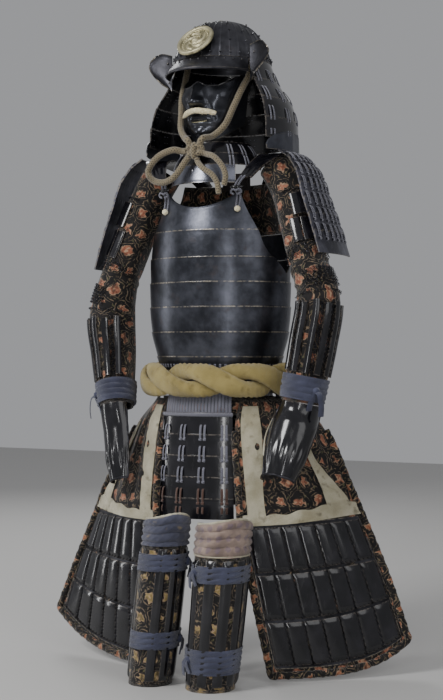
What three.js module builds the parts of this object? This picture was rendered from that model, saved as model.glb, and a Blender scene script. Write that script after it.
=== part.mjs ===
// Samurai armour: a whole suit as it is worn, hollow, with its shin guards standing in front.
// Millimetres, +Z up. The suit faces -Y, and the wearer's left is +X.
// Heights in the tables are above the floor. The origin is between the shoulders that hold the suit.

import * as THREE from 'three';

// Driving dimensions
const HOLD_HEIGHT = 1225;
const GAP = 0.3;
const STEEL = 2;
const LAME_STEP = 1.8;
const LAME_LEDGE = 0.4;
const PLACE_LEDGE = 0.0016;
const CLOTH = 2;
const HEAD_TURN = -7.5;
const HEAD_SHIFT = 8;
const RIM_HEIGHT = 1462;
const NECK_GUARD_EDGES = [1461.7, 1412, 1364, 1315, 1266];
const MASK_CENTRE_Y = -5;
const CHIN_CORD_RADIUS = 8;
const TOP_PLATE_LOWER_EDGE = 1050;
const FRONT_LAME_EDGES = [1049.7, 985, 926, 867, 807, 748, 714];
const BACK_LAME_EDGES = [1050, 985, 926, 867, 807, 748, 714];
const NECKLINE_FRONT = 1102;
const NECKLINE_RISE = 41;
const BACK_TOP = 1176;
const SIDE_SEAM = 89.9;
const BELT = { height: 690, halfWidth: 181.5, halfDepth: 147.7, turns: 4, radial: 11.5, upright: 19.5 };
const TASSET_EDGES = [612, 562, 512, 462, 412, 362];
const LACING_TOP = 713.6;
const SPLINT_RISE = 2.5;
const PLATE_THICKNESS = 2.6;
const PADDED_EDGE = 6;

// Materials
const finishes = {
  lacquer: { color: 0x141417, roughness: 0.22, metalness: 0.1 },
  iron: { color: 0x3a3b42, roughness: 0.38, metalness: 0.75 },
  brass: { color: 0x8a8055, roughness: 0.42, metalness: 0.85 },
  hair: { color: 0xd8cda6, roughness: 0.8, metalness: 0 },
  cord: { color: 0x5f5546, roughness: 0.9, metalness: 0 },
  lacing: { color: 0x5a5a64, roughness: 0.9, metalness: 0 },
  brocade: { color: 0x4a352c, roughness: 0.85, metalness: 0 },
  belt: { color: 0x9c9058, roughness: 0.8, metalness: 0 },
  indigo: { color: 0x3c3e55, roughness: 0.92, metalness: 0 },
  quilt: { color: 0x8a7468, roughness: 0.9, metalness: 0 },
};

const suit = new THREE.Group();
const aboveFloor = new THREE.Group();
aboveFloor.position.z = -HOLD_HEIGHT;
suit.add(aboveFloor);
const head = new THREE.Group();
head.position.x = HEAD_SHIFT;
head.rotation.z = THREE.MathUtils.degToRad(HEAD_TURN);
aboveFloor.add(head);

function addPiece(name, geometry, finish, parent = aboveFloor) {
  const mesh = new THREE.Mesh(geometry, new THREE.MeshStandardMaterial(finishes[finish]));
  mesh.name = name;
  parent.add(mesh);
  return mesh;
}

const sine = (degrees) => Math.sin(THREE.MathUtils.degToRad(degrees));
const cosine = (degrees) => Math.cos(THREE.MathUtils.degToRad(degrees));
const mix = THREE.MathUtils.lerp;
const clamp = THREE.MathUtils.clamp;

// Equal steps from start to end, both included
function steps(start, end, count) {
  return Array.from({ length: count + 1 }, (_, index) => mix(start, end, index / count));
}

// A value of one named column at a place along a table, smooth through the rows
function columnAt(table, key, column, place) {
  const rising = table[table.length - 1][key] > table[0][key];
  let low = 0;
  while (low < table.length - 2 && (rising ? place > table[low + 1][key] : place < table[low + 1][key])) low += 1;
  const before = table[Math.max(low - 1, 0)];
  const start = table[low];
  const end = table[low + 1];
  const after = table[Math.min(low + 2, table.length - 1)];
  const span = end[key] - start[key];
  const part = clamp((place - start[key]) / span, 0, 1);
  const startSlope = ((end[column] - before[column]) / (end[key] - before[key])) * span;
  const endSlope = ((after[column] - start[column]) / (after[key] - start[key])) * span;
  const square = part * part;
  const cube = square * part;
  return (2 * cube - 3 * square + 1) * start[column] + (cube - 2 * square + part) * startSlope
    + (3 * square - 2 * cube) * end[column] + (cube - square) * endSlope;
}

// A closed wall between two offsets of one surface. Seen from outside, columns run to the right and rows down.
// An offset is a length along the outward normal, or a function of the row and column indices.
// A level wall is thickened sideways only, so that its lower edge is flat.
function wall(surface, columns, rows, inner, outer, closed = false, level = false) {
  const columnStep = (columns[columns.length - 1] - columns[0]) / 2000;
  const rowStep = (rows(0, columns[0]) - rows(1, columns[0])) / 4000;
  const rowCount = rows.count;
  const columnCount = columns.length;
  const positions = [];
  const offsetOf = (offset, row, column) => (typeof offset === 'function' ? offset(row, column) : offset);
  for (const offset of [outer, inner]) {
    for (let row = 0; row < rowCount; row += 1) {
      for (let column = 0; column < columnCount; column += 1) {
        const across = columns[column];
        const down = rows(row, across);
        const right = surface(across + columnStep, down).sub(surface(across - columnStep, down));
        const below = surface(across, down - rowStep).sub(surface(across, down + rowStep));
        const normal = below.cross(right);
        if (level) normal.z = 0;
        normal.normalize();
        const point = surface(across, down).addScaledVector(normal, offsetOf(offset, row, column));
        positions.push(point.x, point.y, point.z);
      }
    }
  }
  const layer = rowCount * columnCount;
  const indices = [];
  const quad = (a, b, c, d) => indices.push(a, b, c, a, c, d);
  const at = (row, column) => row * columnCount + (column % columnCount);
  const lastColumn = closed ? columnCount : columnCount - 1;
  for (let row = 0; row < rowCount - 1; row += 1) {
    for (let column = 0; column < lastColumn; column += 1) {
      const corners = [at(row, column), at(row + 1, column), at(row + 1, column + 1), at(row, column + 1)];
      quad(...corners);
      indices.push(layer + corners[0], layer + corners[2], layer + corners[1]);
      indices.push(layer + corners[0], layer + corners[3], layer + corners[2]);
    }
  }
  const side = (from, to) => quad(to, from, layer + from, layer + to);
  for (let column = 0; column < lastColumn; column += 1) {
    side(at(rowCount - 1, column), at(rowCount - 1, column + 1));
    side(at(0, column + 1), at(0, column));
  }
  if (!closed) {
    for (let row = 0; row < rowCount - 1; row += 1) {
      side(at(row + 1, columnCount - 1), at(row, columnCount - 1));
      side(at(row, 0), at(row + 1, 0));
    }
  }
  const geometry = new THREE.BufferGeometry();
  geometry.setAttribute('position', new THREE.Float32BufferAttribute(positions, 3));
  geometry.setIndex(indices);
  geometry.computeVertexNormals();
  return geometry;
}

// Rows at fixed places
function fixedRows(places) {
  const rows = (row) => places[row];
  rows.count = places.length;
  return rows;
}

// Two rows for each lame, so that the wall steps outward at every lame's top edge.
// The ledge is half the step's height, in the unit of the edges.
function lameRows(edges, ledge = LAME_LEDGE) {
  const places = [];
  const half = ledge * Math.sign(edges[0] - edges[1]);
  const last = edges.length - 1;
  edges.forEach((edge, index) => {
    if (index > 0) places.push(edge + (index < last ? half : 0));
    if (index < last) places.push(edge - (index > 0 ? half : 0));
  });
  return fixedRows(places);
}
const lameRelief = (row) => STEEL + (row % 2 === 0 ? LAME_STEP : 0);

// A surface through level ellipses. Angle 0 is the front, and 90 is the wearer's left.
function ringSurface(table, centreY = 0) {
  return (angle, height) => new THREE.Vector3(
    columnAt(table, 'z', 'halfWidth', height) * sine(angle),
    centreY - columnAt(table, 'z', 'halfDepth', height) * cosine(angle),
    height,
  );
}

// The other side's piece, mirrored left to right
function mirrored(geometry) {
  const copy = geometry.clone();
  copy.scale(-1, 1, 1);
  const index = copy.index;
  for (let corner = 0; corner < index.count; corner += 3) {
    const kept = index.getX(corner + 1);
    index.setX(corner + 1, index.getX(corner + 2));
    index.setX(corner + 2, kept);
  }
  copy.computeVertexNormals();
  return copy;
}

function addPair(name, build, finish, parent = aboveFloor) {
  addPiece(`${name}_left`, build('left'), finish, parent);
  addPiece(`${name}_right`, mirrored(build('right')), finish, parent);
}

// A tube along a smooth curve, for held and free cords
function cordTube(points, radius, stepCount, sides = 8) {
  const circle = new THREE.Shape();
  for (let side = 0; side < sides; side += 1) {
    const angle = (360 * side) / sides;
    const x = radius * cosine(angle);
    const y = radius * sine(angle);
    if (side === 0) circle.moveTo(x, y);
    else circle.lineTo(x, y);
  }
  circle.closePath();
  const path = new THREE.CatmullRomCurve3(points.map((point) => new THREE.Vector3(...point)), false, 'centripetal');
  return new THREE.ExtrudeGeometry(circle, { steps: stepCount, extrudePath: path });
}

// Helmet
const bowlTable = [
  { z: 1566, halfWidth: 12, halfDepth: 13 },
  { z: 1562, halfWidth: 40, halfDepth: 43 },
  { z: 1548, halfWidth: 68, halfDepth: 73 },
  { z: 1524, halfWidth: 90, halfDepth: 96 },
  { z: 1494, halfWidth: 106, halfDepth: 115 },
  { z: RIM_HEIGHT, halfWidth: 114, halfDepth: 127 },
];
const headColumns = steps(7.5, 352.5, 23);
const bowlRows = fixedRows(bowlTable.map((row) => row.z));
const bowl = wall(ringSurface(bowlTable), headColumns, bowlRows, 0, STEEL, true);
addPiece('helmet_bowl', bowl, 'iron', head);

const visorTable = [
  { z: 1461.7, halfWidth: 116, halfDepth: 129 },
  { z: 1447, halfWidth: 120, halfDepth: 146 },
  { z: 1434, halfWidth: 125, halfDepth: 161 },
  { z: 1428, halfWidth: 127, halfDepth: 163 },
];
const visorRows = fixedRows(visorTable.map((row) => row.z));
addPiece('helmet_visor', wall(ringSurface(visorTable), steps(-67.5, 67.5, 9), visorRows, -STEEL, 0), 'iron', head);

// The disc lies on the bowl's forehead, square to its slope
const DISC_SLOPE = 38;
const DISC_HEIGHT = 1503;
const discProfile = [[0, 0], [47, 0], [49, 2], [47, 5], [40, 5], [37, 3.4], [18, 4], [11, 7], [0, 8]];
const disc = new THREE.LatheGeometry(discProfile.map(([radius, height]) => new THREE.Vector2(radius, height)), 18);
const discMesh = addPiece('helmet_disc', disc, 'brass', head);
const discNormal = new THREE.Vector3(0, -cosine(DISC_SLOPE), sine(DISC_SLOPE));
let discSeat = 0;
for (let corner = 0; corner < bowl.attributes.position.count; corner += 1) {
  const place = new THREE.Vector3().fromBufferAttribute(bowl.attributes.position, corner);
  discSeat = Math.max(discSeat, place.dot(discNormal) + GAP);
}
discMesh.position.set(0, (DISC_HEIGHT * discNormal.z - discSeat) / cosine(DISC_SLOPE), DISC_HEIGHT);
discMesh.rotation.x = THREE.MathUtils.degToRad(180 - DISC_SLOPE);

const neckTable = [
  { z: 1461.7, halfWidth: 114, halfDepth: 127 },
  { z: 1412, halfWidth: 134, halfDepth: 138 },
  { z: 1364, halfWidth: 166, halfDepth: 165 },
  { z: 1315, halfWidth: 181, halfDepth: 180 },
  { z: 1266, halfWidth: 184, halfDepth: 184 },
];
const neckSurface = ringSurface(neckTable);
const neckColumns = steps(67.5, 292.5, 15);
for (let lame = 0; lame < 4; lame += 1) {
  const rows = fixedRows([NECK_GUARD_EDGES[lame] - (lame > 0 ? GAP : 0), NECK_GUARD_EDGES[lame + 1]]);
  const relief = (row) => STEEL + (row === 0 && lame > 0 ? LAME_STEP : 0);
  addPiece(`neck_guard_${lame + 1}`, wall(neckSurface, neckColumns, rows, 0, relief), 'lacquer', head);
}

// The ear-like plates curve outward from the visor's ends
function turnback() {
  const surface = (across, down) => {
    const width = 61 * Math.sin(Math.PI * clamp(0.3 + 0.6 * down, 0, 1));
    const height = 1492 - 88 * down + 16 * across - 24 * across ** 4 * (1 - down) ** 2;
    return new THREE.Vector3(116 + across * width, -54.5 - 14 * across * across, height);
  };
  return wall(surface, steps(0, 1, 4), fixedRows([0, 0.25, 0.5, 0.75, 1]), -STEEL, 0);
}
addPair('turnback', turnback, 'iron', head);

// Half mask with nose, open mouth and chin
const maskTable = [
  { z: 1430, halfWidth: 84, halfDepth: 96 },
  { z: 1385, halfWidth: 86, halfDepth: 104 },
  { z: 1340, halfWidth: 81, halfDepth: 105 },
  { z: 1300, halfWidth: 72, halfDepth: 99 },
  { z: 1262, halfWidth: 52, halfDepth: 84 },
];
const maskColumns = [-84, -68, -54, -42, -32, -24, -16, -9, -4, 4, 9, 16, 24, 32, 42, 54, 68, 84];
const bump = (distance, width) => Math.exp(-((distance / width) ** 2));
function maskRelief(angle, height) {
  const nose = 25 * bump(angle, 8.5) * clamp((1408 - height) / 48, 0, 1) * clamp((height - 1344) / 8, 0, 1);
  const nostrils = 9 * bump(Math.abs(angle) - 9, 5) * bump(height - 1356, 9);
  const cheeks = 7 * bump(Math.abs(angle) - 40, 16) * bump(height - 1372, 20);
  const mouth = -11 * bump(angle, 23) * bump(height - 1321, 9);
  const chin = 8 * bump(angle, 16) * bump(height - 1284, 13);
  return nose + nostrils + cheeks + mouth + chin;
}
const maskShape = ringSurface(maskTable, MASK_CENTRE_Y);
const maskSurface = (angle, height) => {
  const point = maskShape(angle, height);
  const outward = new THREE.Vector3(sine(angle), -cosine(angle), 0);
  return point.addScaledVector(outward, maskRelief(angle, height));
};
const maskTop = (angle) => 1396 + 12 * bump(angle, 10) + 30 * clamp((Math.abs(angle) - 34) / 40, 0, 1);
const maskBottom = (angle) => 1262 + 44 * clamp((Math.abs(angle) - 20) / 62, 0, 1) ** 1.4;
const maskParts = [0, 0.09, 0.18, 0.27, 0.33, 0.4, 0.48, 0.56, 0.64, 0.74, 0.86, 1];
const maskRows = (row, angle) => mix(maskTop(angle), maskBottom(angle), maskParts[row]);
maskRows.count = maskParts.length;
addPiece('face_mask', wall(maskSurface, maskColumns, maskRows, -STEEL, 0), 'lacquer', head);

const MOUSTACHE_REACH = 34;
const MOUSTACHE_RADIUS = 6;
const moustachePoints = steps(-MOUSTACHE_REACH, MOUSTACHE_REACH, 8).map((angle) => {
  const height = 1336 - 7 * (Math.abs(angle) / MOUSTACHE_REACH) ** 1.5;
  const point = maskSurface(angle, height);
  const clear = MOUSTACHE_RADIUS + 1 + 3 * bump(angle, 12);
  return [point.x + clear * sine(angle), point.y - clear * cosine(angle), height];
});
addPiece('moustache', cordTube(moustachePoints, MOUSTACHE_RADIUS, 8, 6), 'hair', head);

// Throat guard: two laced lames under the jaw and a polished plate in front
const throatTable = [
  { z: 1261.5, halfWidth: 74, halfDepth: 84 },
  { z: 1233, halfWidth: 96, halfDepth: 101 },
  { z: 1205, halfWidth: 110, halfDepth: 116 },
  { z: 1160, halfWidth: 118, halfDepth: 130 },
];
const throatSurface = ringSurface(throatTable, MASK_CENTRE_Y);
addPiece('throat_guard_lames', wall(throatSurface, steps(-97.5, 97.5, 13), lameRows([1261.5, 1233, 1205.3]),
  0, lameRelief), 'lacquer', head);
addPiece('throat_guard_plate', wall(throatSurface, steps(-52.5, 52.5, 7), fixedRows([1205, 1182, 1160]),
  0, STEEL), 'iron', head);

// Chin cord: strands from inside the bowl to a knot under the chin, one loop and two tails
const knotCentre = [4, -140, 1236];
const knotRadii = [21, 13, 18];
function knotExit(angle, distance) {
  const direction = [cosine(angle), 0, sine(angle)];
  const support = knotRadii.map((radius, axis) => radius * radius * direction[axis]);
  const length = Math.hypot(...knotRadii.map((radius, axis) => radius * direction[axis]));
  return knotCentre.map((value, axis) => value + support[axis] / length + direction[axis] * distance);
}
function headToSuit([x, y, z]) {
  const turn = HEAD_TURN;
  return [HEAD_SHIFT + x * cosine(turn) - y * sine(turn), x * sine(turn) + y * cosine(turn), z];
}
function besideMask(angle, height, distance) {
  const point = maskShape(angle, height);
  return headToSuit([point.x + distance * sine(angle), point.y - distance * cosine(angle), height]);
}
for (const [name, side, exitAngle] of [['left', 1, 58], ['right', -1, 122]]) {
  const points = [
    headToSuit([side * 94.7, -4, 1497]),
    headToSuit([side * 97, -14, 1462]),
    besideMask(side * 78, 1425, 13),
    besideMask(side * 66, 1385, 9.4),
    besideMask(side * 56, 1340, 10.5),
    besideMask(side * 46, 1300, 18),
    besideMask(side * 30, 1274, 22),
    knotExit(exitAngle, 16),
    knotExit(exitAngle, GAP),
  ];
  addPiece(`chin_cord_${name}`, cordTube(points, CHIN_CORD_RADIUS, 12), 'cord');
}
const knot = new THREE.SphereGeometry(1, 12, 8);
knot.scale(...knotRadii);
addPiece('chin_knot', knot, 'cord').position.set(...knotCentre);
const loopPoints = [
  knotExit(178, GAP), knotExit(178, 14),
  [-50, -150, 1240], [-84, -152, 1229], [-110, -150, 1208], [-119, -147, 1188], [-104, -147, 1170],
  [-74, -150, 1164], [-44, -153, 1176],
  knotExit(228, 14), knotExit(228, GAP),
];
addPiece('chin_loop', cordTube(loopPoints, CHIN_CORD_RADIUS, 20), 'cord');
const tailRoutes = {
  upper: [knotExit(340, GAP), knotExit(340, 12), [60, -150, 1218], [82, -152, 1196], [92, -152, 1172],
    [88, -152, 1149]],
  lower: [knotExit(284, GAP), knotExit(284, 10), [32, -152, 1192], [56, -153, 1176], [70, -153, 1156],
    [75, -153, 1130]],
};
for (const [name, route] of Object.entries(tailRoutes)) {
  addPiece(`chin_tail_${name}`, cordTube(route, CHIN_CORD_RADIUS - 1, 8), 'cord');
}

// Cuirass: level ellipses from the neckline to the waist
const cuirassTable = [
  { z: 1176, halfWidth: 138, halfDepth: 104 },
  { z: 1102, halfWidth: 152, halfDepth: 120 },
  { z: 1050, halfWidth: 168, halfDepth: 130 },
  { z: 985, halfWidth: 176, halfDepth: 135 },
  { z: 926, halfWidth: 178, halfDepth: 136 },
  { z: 867, halfWidth: 178, halfDepth: 136 },
  { z: 807, halfWidth: 174, halfDepth: 132 },
  { z: 748, halfWidth: 160, halfDepth: 124 },
  { z: 714, halfWidth: 150, halfDepth: 118 },
];
const armholeTable = [
  { z: 1176, reach: 40 },
  { z: 1130, reach: 43 },
  { z: 1050, reach: 55 },
  { z: 1000, reach: 63 },
  { z: 960, reach: 82 },
  { z: 945, reach: SIDE_SEAM },
  { z: 714, reach: SIDE_SEAM },
];
const cuirassRing = ringSurface(cuirassTable);
const reachAt = (height) => Math.min(columnAt(armholeTable, 'z', 'reach', height), SIDE_SEAM);
const frontSurface = (share, height) => cuirassRing(share * reachAt(height), height);
const backSurface = (share, height) => cuirassRing(180 + share * reachAt(height), height);
const frontColumns = steps(-1, 1, 12);
const topPlateParts = [0, 0.3, 0.65, 1];
function plateRows(topAt, bottom) {
  const rows = (row, share) => mix(topAt(share), bottom, topPlateParts[row]);
  rows.count = topPlateParts.length;
  return rows;
}
const necklineAt = (share) => NECKLINE_FRONT + NECKLINE_RISE * Math.abs(share) ** 1.8;
addPiece('cuirass_top_plate', wall(frontSurface, frontColumns, plateRows(necklineAt, TOP_PLATE_LOWER_EDGE),
  0, STEEL), 'iron');
addPiece('cuirass_front', wall(frontSurface, frontColumns, lameRows(FRONT_LAME_EDGES), 0, lameRelief), 'iron');
addPiece('cuirass_back', wall(backSurface, steps(-1, 1, 10), lameRows([BACK_TOP, 1112, ...BACK_LAME_EDGES]),
  0, lameRelief), 'iron');

// The sleeves' yoke lies inside the back and reaches round to the armholes
const YOKE_REACH = 1.6;
const YOKE_INSET = 1;
addPiece('sleeve_yoke', wall(backSurface, steps(-YOKE_REACH, YOKE_REACH, 16), fixedRows([1175, 1112, 1051]),
  -YOKE_INSET - CLOTH, -YOKE_INSET), 'brocade');

// Padded straps over the shoulders, with a cord and toggle down to the top plate
const strapTable = [
  { place: 0, x: 92, y: 96, z: 1178.6, halfWidth: 22 },
  { place: 0.22, x: 118, y: 80, z: 1210, halfWidth: 28 },
  { place: 0.42, x: 154, y: 40, z: 1233, halfWidth: 34 },
  { place: 0.55, x: 158, y: 0, z: 1237, halfWidth: 38 },
  { place: 0.68, x: 155, y: -40, z: 1230, halfWidth: 33 },
  { place: 0.86, x: 132, y: -78, z: 1199, halfWidth: 22 },
  { place: 1, x: 114, y: -95, z: 1172, halfWidth: 17 },
];
function shoulderStrap() {
  const value = (column, place) => columnAt(strapTable, 'place', column, place);
  const surface = (across, place) => new THREE.Vector3(value('x', place) + across * value('halfWidth', place),
    value('y', place), value('z', place));
  return wall(surface, steps(-1, 1, 2), fixedRows(steps(0, 1, 10)), -4, 0);
}
addPair('shoulder_strap', shoulderStrap, 'lacquer');

const TOGGLE_RADIUS = 5;
function toggleCord(side) {
  const onPlate = (angle, height, distance) => {
    const point = cuirassRing(angle, height);
    return [point.x + distance * sine(angle), point.y - distance * cosine(angle), height];
  };
  const clear = STEEL + TOGGLE_RADIUS + 1.1;
  const route = [[103, -100, 1166], [98, -103, 1150], onPlate(40, 1128, clear), onPlate(38, 1098, clear)];
  return cordTube(route.map(([x, y, z]) => [side * x, y, z]), TOGGLE_RADIUS, 6);
}
addPiece('toggle_cord_left', toggleCord(1), 'lacing');
addPiece('toggle_cord_right', toggleCord(-1), 'lacing');

// Standing half-round plates on the straps, just outside the neck guard and on its facets
const STANDING_PLATE_RADIUS = 188.4;
function standingPlate(side) {
  const shift = side === 'left' ? HEAD_SHIFT : -HEAD_SHIFT;
  const radiusAt = (angle) => STANDING_PLATE_RADIUS * cosine(7.5) / cosine((angle % 15) - 7.5);
  const surface = (angle, height) => new THREE.Vector3(
    shift + radiusAt(angle) * sine(angle),
    -radiusAt(angle) * cosine(angle),
    height,
  );
  const rows = (row, angle) => mix(1242 + 42 * Math.sqrt(1.02 - ((angle - 90) / 30) ** 2), 1237.5, row / 2);
  rows.count = 3;
  return wall(surface, [60, 67.5, 75, 90, 105, 112.5, 120], rows, -STEEL, 0);
}
addPair('standing_plate', standingPlate, 'iron');

// Shoulder guards: seven lames that hang from the straps and flare over the arms
const shoulderGuardProfile = [
  { place: 0, x: 198.1, z: 1237, halfLength: 62 },
  { place: 0.14, x: 226, z: 1219, halfLength: 68 },
  { place: 0.3, x: 252, z: 1183, halfLength: 78 },
  { place: 0.52, x: 270, z: 1128, halfLength: 86 },
  { place: 0.76, x: 293, z: 1065, halfLength: 91 },
  { place: 1, x: 318, z: 988, halfLength: 94 },
];
const SHOULDER_GUARD_DROP = { left: 0, right: 24 };
function shoulderGuard(side) {
  const value = (column, place) => columnAt(shoulderGuardProfile, 'place', column, place);
  const surface = (across, place) => new THREE.Vector3(
    value('x', place) - 12 * across * across,
    across * value('halfLength', place),
    value('z', place) - SHOULDER_GUARD_DROP[side] * place,
  );
  return wall(surface, steps(-1, 1, 6), lameRows(steps(0, 1, 7), PLACE_LEDGE), -STEEL,
    (row) => (row % 2 === 0 ? LAME_STEP : 0));
}
addPair('shoulder_guard', shoulderGuard, 'lacquer');

// Sleeves: a centre line and a round section, with raised splints and plates
const sleeveTables = {
  left: [
    { place: 0, x: 158, y: 0, z: 1205.8, halfWidth: 46, halfDepth: 52 },
    { place: 0.06, x: 182, y: -3, z: 1168, halfWidth: 46, halfDepth: 52 },
    { place: 0.13, x: 202, y: -8, z: 1126, halfWidth: 46, halfDepth: 52 },
    { place: 0.3, x: 232, y: -30, z: 1040, halfWidth: 46, halfDepth: 50 },
    { place: 0.46, x: 268, y: -60, z: 955, halfWidth: 46, halfDepth: 50 },
    { place: 0.6, x: 296, y: -74, z: 880, halfWidth: 50, halfDepth: 52 },
    { place: 0.78, x: 285, y: -84, z: 780, halfWidth: 51, halfDepth: 52 },
    { place: 1, x: 262, y: -97, z: 640, halfWidth: 47, halfDepth: 46 },
  ],
  right: [
    { place: 0, x: 158, y: 0, z: 1205.8, halfWidth: 46, halfDepth: 52 },
    { place: 0.06, x: 182, y: -3, z: 1168, halfWidth: 46, halfDepth: 52 },
    { place: 0.13, x: 200, y: -10, z: 1126, halfWidth: 46, halfDepth: 52 },
    { place: 0.3, x: 232, y: -30, z: 1030, halfWidth: 46, halfDepth: 52 },
    { place: 0.46, x: 262, y: -42, z: 940, halfWidth: 48, halfDepth: 54 },
    { place: 0.6, x: 281, y: -46, z: 850, halfWidth: 58, halfDepth: 58 },
    { place: 0.78, x: 266, y: -62, z: 750, halfWidth: 52, halfDepth: 52 },
    { place: 1, x: 235, y: -102, z: 622, halfWidth: 41, halfDepth: 41 },
  ],
};
function sleevePlace(table, place) {
  const value = (column) => columnAt(table, 'place', column, place);
  return new THREE.Vector3(value('x'), value('y'), value('z'));
}
function sleeveSurface(table) {
  return (angle, down) => {
    const place = 1 - down;
    const centre = sleevePlace(table, place);
    const along = sleevePlace(table, place + 0.01).sub(sleevePlace(table, place - 0.01)).normalize();
    const right = new THREE.Vector3(0, -1, 0).cross(along).normalize();
    const front = along.clone().cross(right);
    return centre.addScaledVector(right, columnAt(table, 'place', 'halfWidth', place) * sine(angle))
      .addScaledVector(front, columnAt(table, 'place', 'halfDepth', place) * cosine(angle));
  };
}
const sleeveColumns = steps(-180, 157.5, 15);
const sleeveRows = [1, 0.86, 0.78, 0.7, 0.62, 0.54, 0.46, 0.38, 0.25, 0.1, 0];
const forearmSplint = (row, column) => (row >= 7 && row <= 9 && column >= 6 && column <= 13 ? SPLINT_RISE : 0);
function sleeve(side) {
  return wall(sleeveSurface(sleeveTables[side]), sleeveColumns, fixedRows(sleeveRows),
    -CLOTH, forearmSplint, true);
}
addPair('sleeve', sleeve, 'brocade');

function upperArmPlate(side) {
  return wall(sleeveSurface(sleeveTables[side]), steps(22.5, 112.5, 4), fixedRows([0.86, 0.78, 0.7, 0.62]),
    GAP, GAP + PLATE_THICKNESS);
}
addPair('upper_arm_plate', upperArmPlate, 'lacquer');

function wristTie(side) {
  const surface = sleeveSurface(sleeveTables[side]);
  return wall(surface, sleeveColumns, fixedRows([0.09, 0.01]), GAP + SPLINT_RISE, GAP + SPLINT_RISE + 3, true);
}
addPair('wrist_tie', wristTie, 'indigo');

// Hand guards: a domed plate from the wrist to the knuckles
const CUFF_SEAM = 0.004;
const handTables = {
  left: { knuckles: [240, -178, 468], reach: 53 },
  right: { knuckles: [190, -158, 446], reach: 38 },
};
function handGuard(side) {
  const { knuckles, reach } = handTables[side];
  const table = sleeveTables[side];
  const cuff = sleevePlace(table, 1);
  const cuffAlong = cuff.clone().sub(sleevePlace(table, 0.99)).normalize();
  const handAlong = new THREE.Vector3(...knuckles).sub(cuff).normalize();
  const length = new THREE.Vector3(...knuckles).distanceTo(cuff);
  const { halfWidth, halfDepth } = table[table.length - 1];
  const surface = (angle, down) => {
    const place = 1 - down;
    const bend = THREE.MathUtils.smoothstep(place, 0, 0.35);
    const along = cuffAlong.clone().lerp(handAlong, bend).normalize();
    const right = new THREE.Vector3(0, -1, 0).cross(along).normalize();
    const front = along.clone().cross(right);
    const width = mix(halfWidth, reach * (1.02 - 0.3 * place ** 3), bend);
    const depth = mix(halfDepth, reach * (0.86 - 0.35 * place ** 2), bend);
    return cuff.clone().addScaledVector(along, length * place)
      .addScaledVector(right, width * sine(angle)).addScaledVector(front, depth * cosine(angle));
  };
  return wall(surface, steps(-67.5, 112.5, 8), fixedRows([1 - CUFF_SEAM, 0.8, 0.6, 0.4, 0.2, 0]), -STEEL, 0);
}
addPair('hand_guard', handGuard, 'lacquer');

// Belt: two padded strands twisted round each other and round the waist
function beltStrand(startAngle) {
  const ringSteps = 36;
  const surface = (angle, turn) => {
    const around = 360 * turn;
    const twist = startAngle + 360 * BELT.turns * turn;
    const radial = BELT.radial * (sine(angle) + 1.07 * sine(twist));
    const rise = BELT.upright * (cosine(angle) + 1.07 * cosine(twist));
    return new THREE.Vector3((BELT.halfWidth + radial) * sine(around), -(BELT.halfDepth + radial) * cosine(around),
      BELT.height + rise);
  };
  const sides = 8;
  const positions = [];
  const indices = [];
  for (let ring = 0; ring < ringSteps; ring += 1) {
    for (let side = 0; side < sides; side += 1) {
      const point = surface((360 * side) / sides, ring / ringSteps);
      positions.push(point.x, point.y, point.z);
      const next = (ring + 1) % ringSteps;
      const a = ring * sides + side;
      const b = ring * sides + ((side + 1) % sides);
      const c = next * sides + ((side + 1) % sides);
      const d = next * sides + side;
      indices.push(a, b, c, a, c, d);
    }
  }
  const geometry = new THREE.BufferGeometry();
  geometry.setAttribute('position', new THREE.Float32BufferAttribute(positions, 3));
  geometry.setIndex(indices);
  geometry.computeVertexNormals();
  return geometry;
}
addPiece('belt_strand_a', beltStrand(0), 'belt');
addPiece('belt_strand_b', beltStrand(180), 'belt');

// Suspension laces and tassets below the cuirass
const hipTable = [
  { z: 714, halfWidth: 150, halfDepth: 118 },
  { z: 660, halfWidth: 152, halfDepth: 121 },
  { z: 612, halfWidth: 160, halfDepth: 133 },
  { z: 500, halfWidth: 174, halfDepth: 148 },
  { z: 362, halfWidth: 188, halfDepth: 162 },
];
const hipSurface = ringSurface(hipTable);
const frontTassetColumns = steps(-34, 34, 8);
addPiece('lacing_front', wall(hipSurface, frontTassetColumns, fixedRows([LACING_TOP, 660, 612.3]), 0, CLOTH),
  'lacing');
addPiece('tasset_front', wall(hipSurface, frontTassetColumns, lameRows(TASSET_EDGES), 0, lameRelief), 'lacquer');
const sideTassets = { tasset_left: 118, tasset_back_left: 160, tasset_back_right: 200, tasset_right: 242 };
const TASSET_REACH = 19;
for (const [name, middle] of Object.entries(sideTassets)) {
  const rows = fixedRows([LACING_TOP, 612.8, ...lameRowPlaces()]);
  const relief = (row) => (row < 2 ? CLOTH : STEEL + (row % 2 === 0 ? LAME_STEP : 0));
  const columns = steps(middle - TASSET_REACH, middle + TASSET_REACH, 3);
  addPiece(name, wall(hipSurface, columns, rows, 0, relief), 'lacquer');
}
function lameRowPlaces() {
  const rows = lameRows(TASSET_EDGES);
  return Array.from({ length: rows.count }, (_, row) => rows(row));
}

// Waistband that carries the thigh apron, inside the laces
const waistbandTable = [
  { z: 648, halfWidth: 147, halfDepth: 115 },
  { z: 606, halfWidth: 147, halfDepth: 116 },
];
const waistbandSurface = ringSurface(waistbandTable);
addPiece('apron_waistband', wall(waistbandSurface, steps(0, 345, 23), fixedRows([648, 606]), -3, 0, true), 'brocade');

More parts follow.
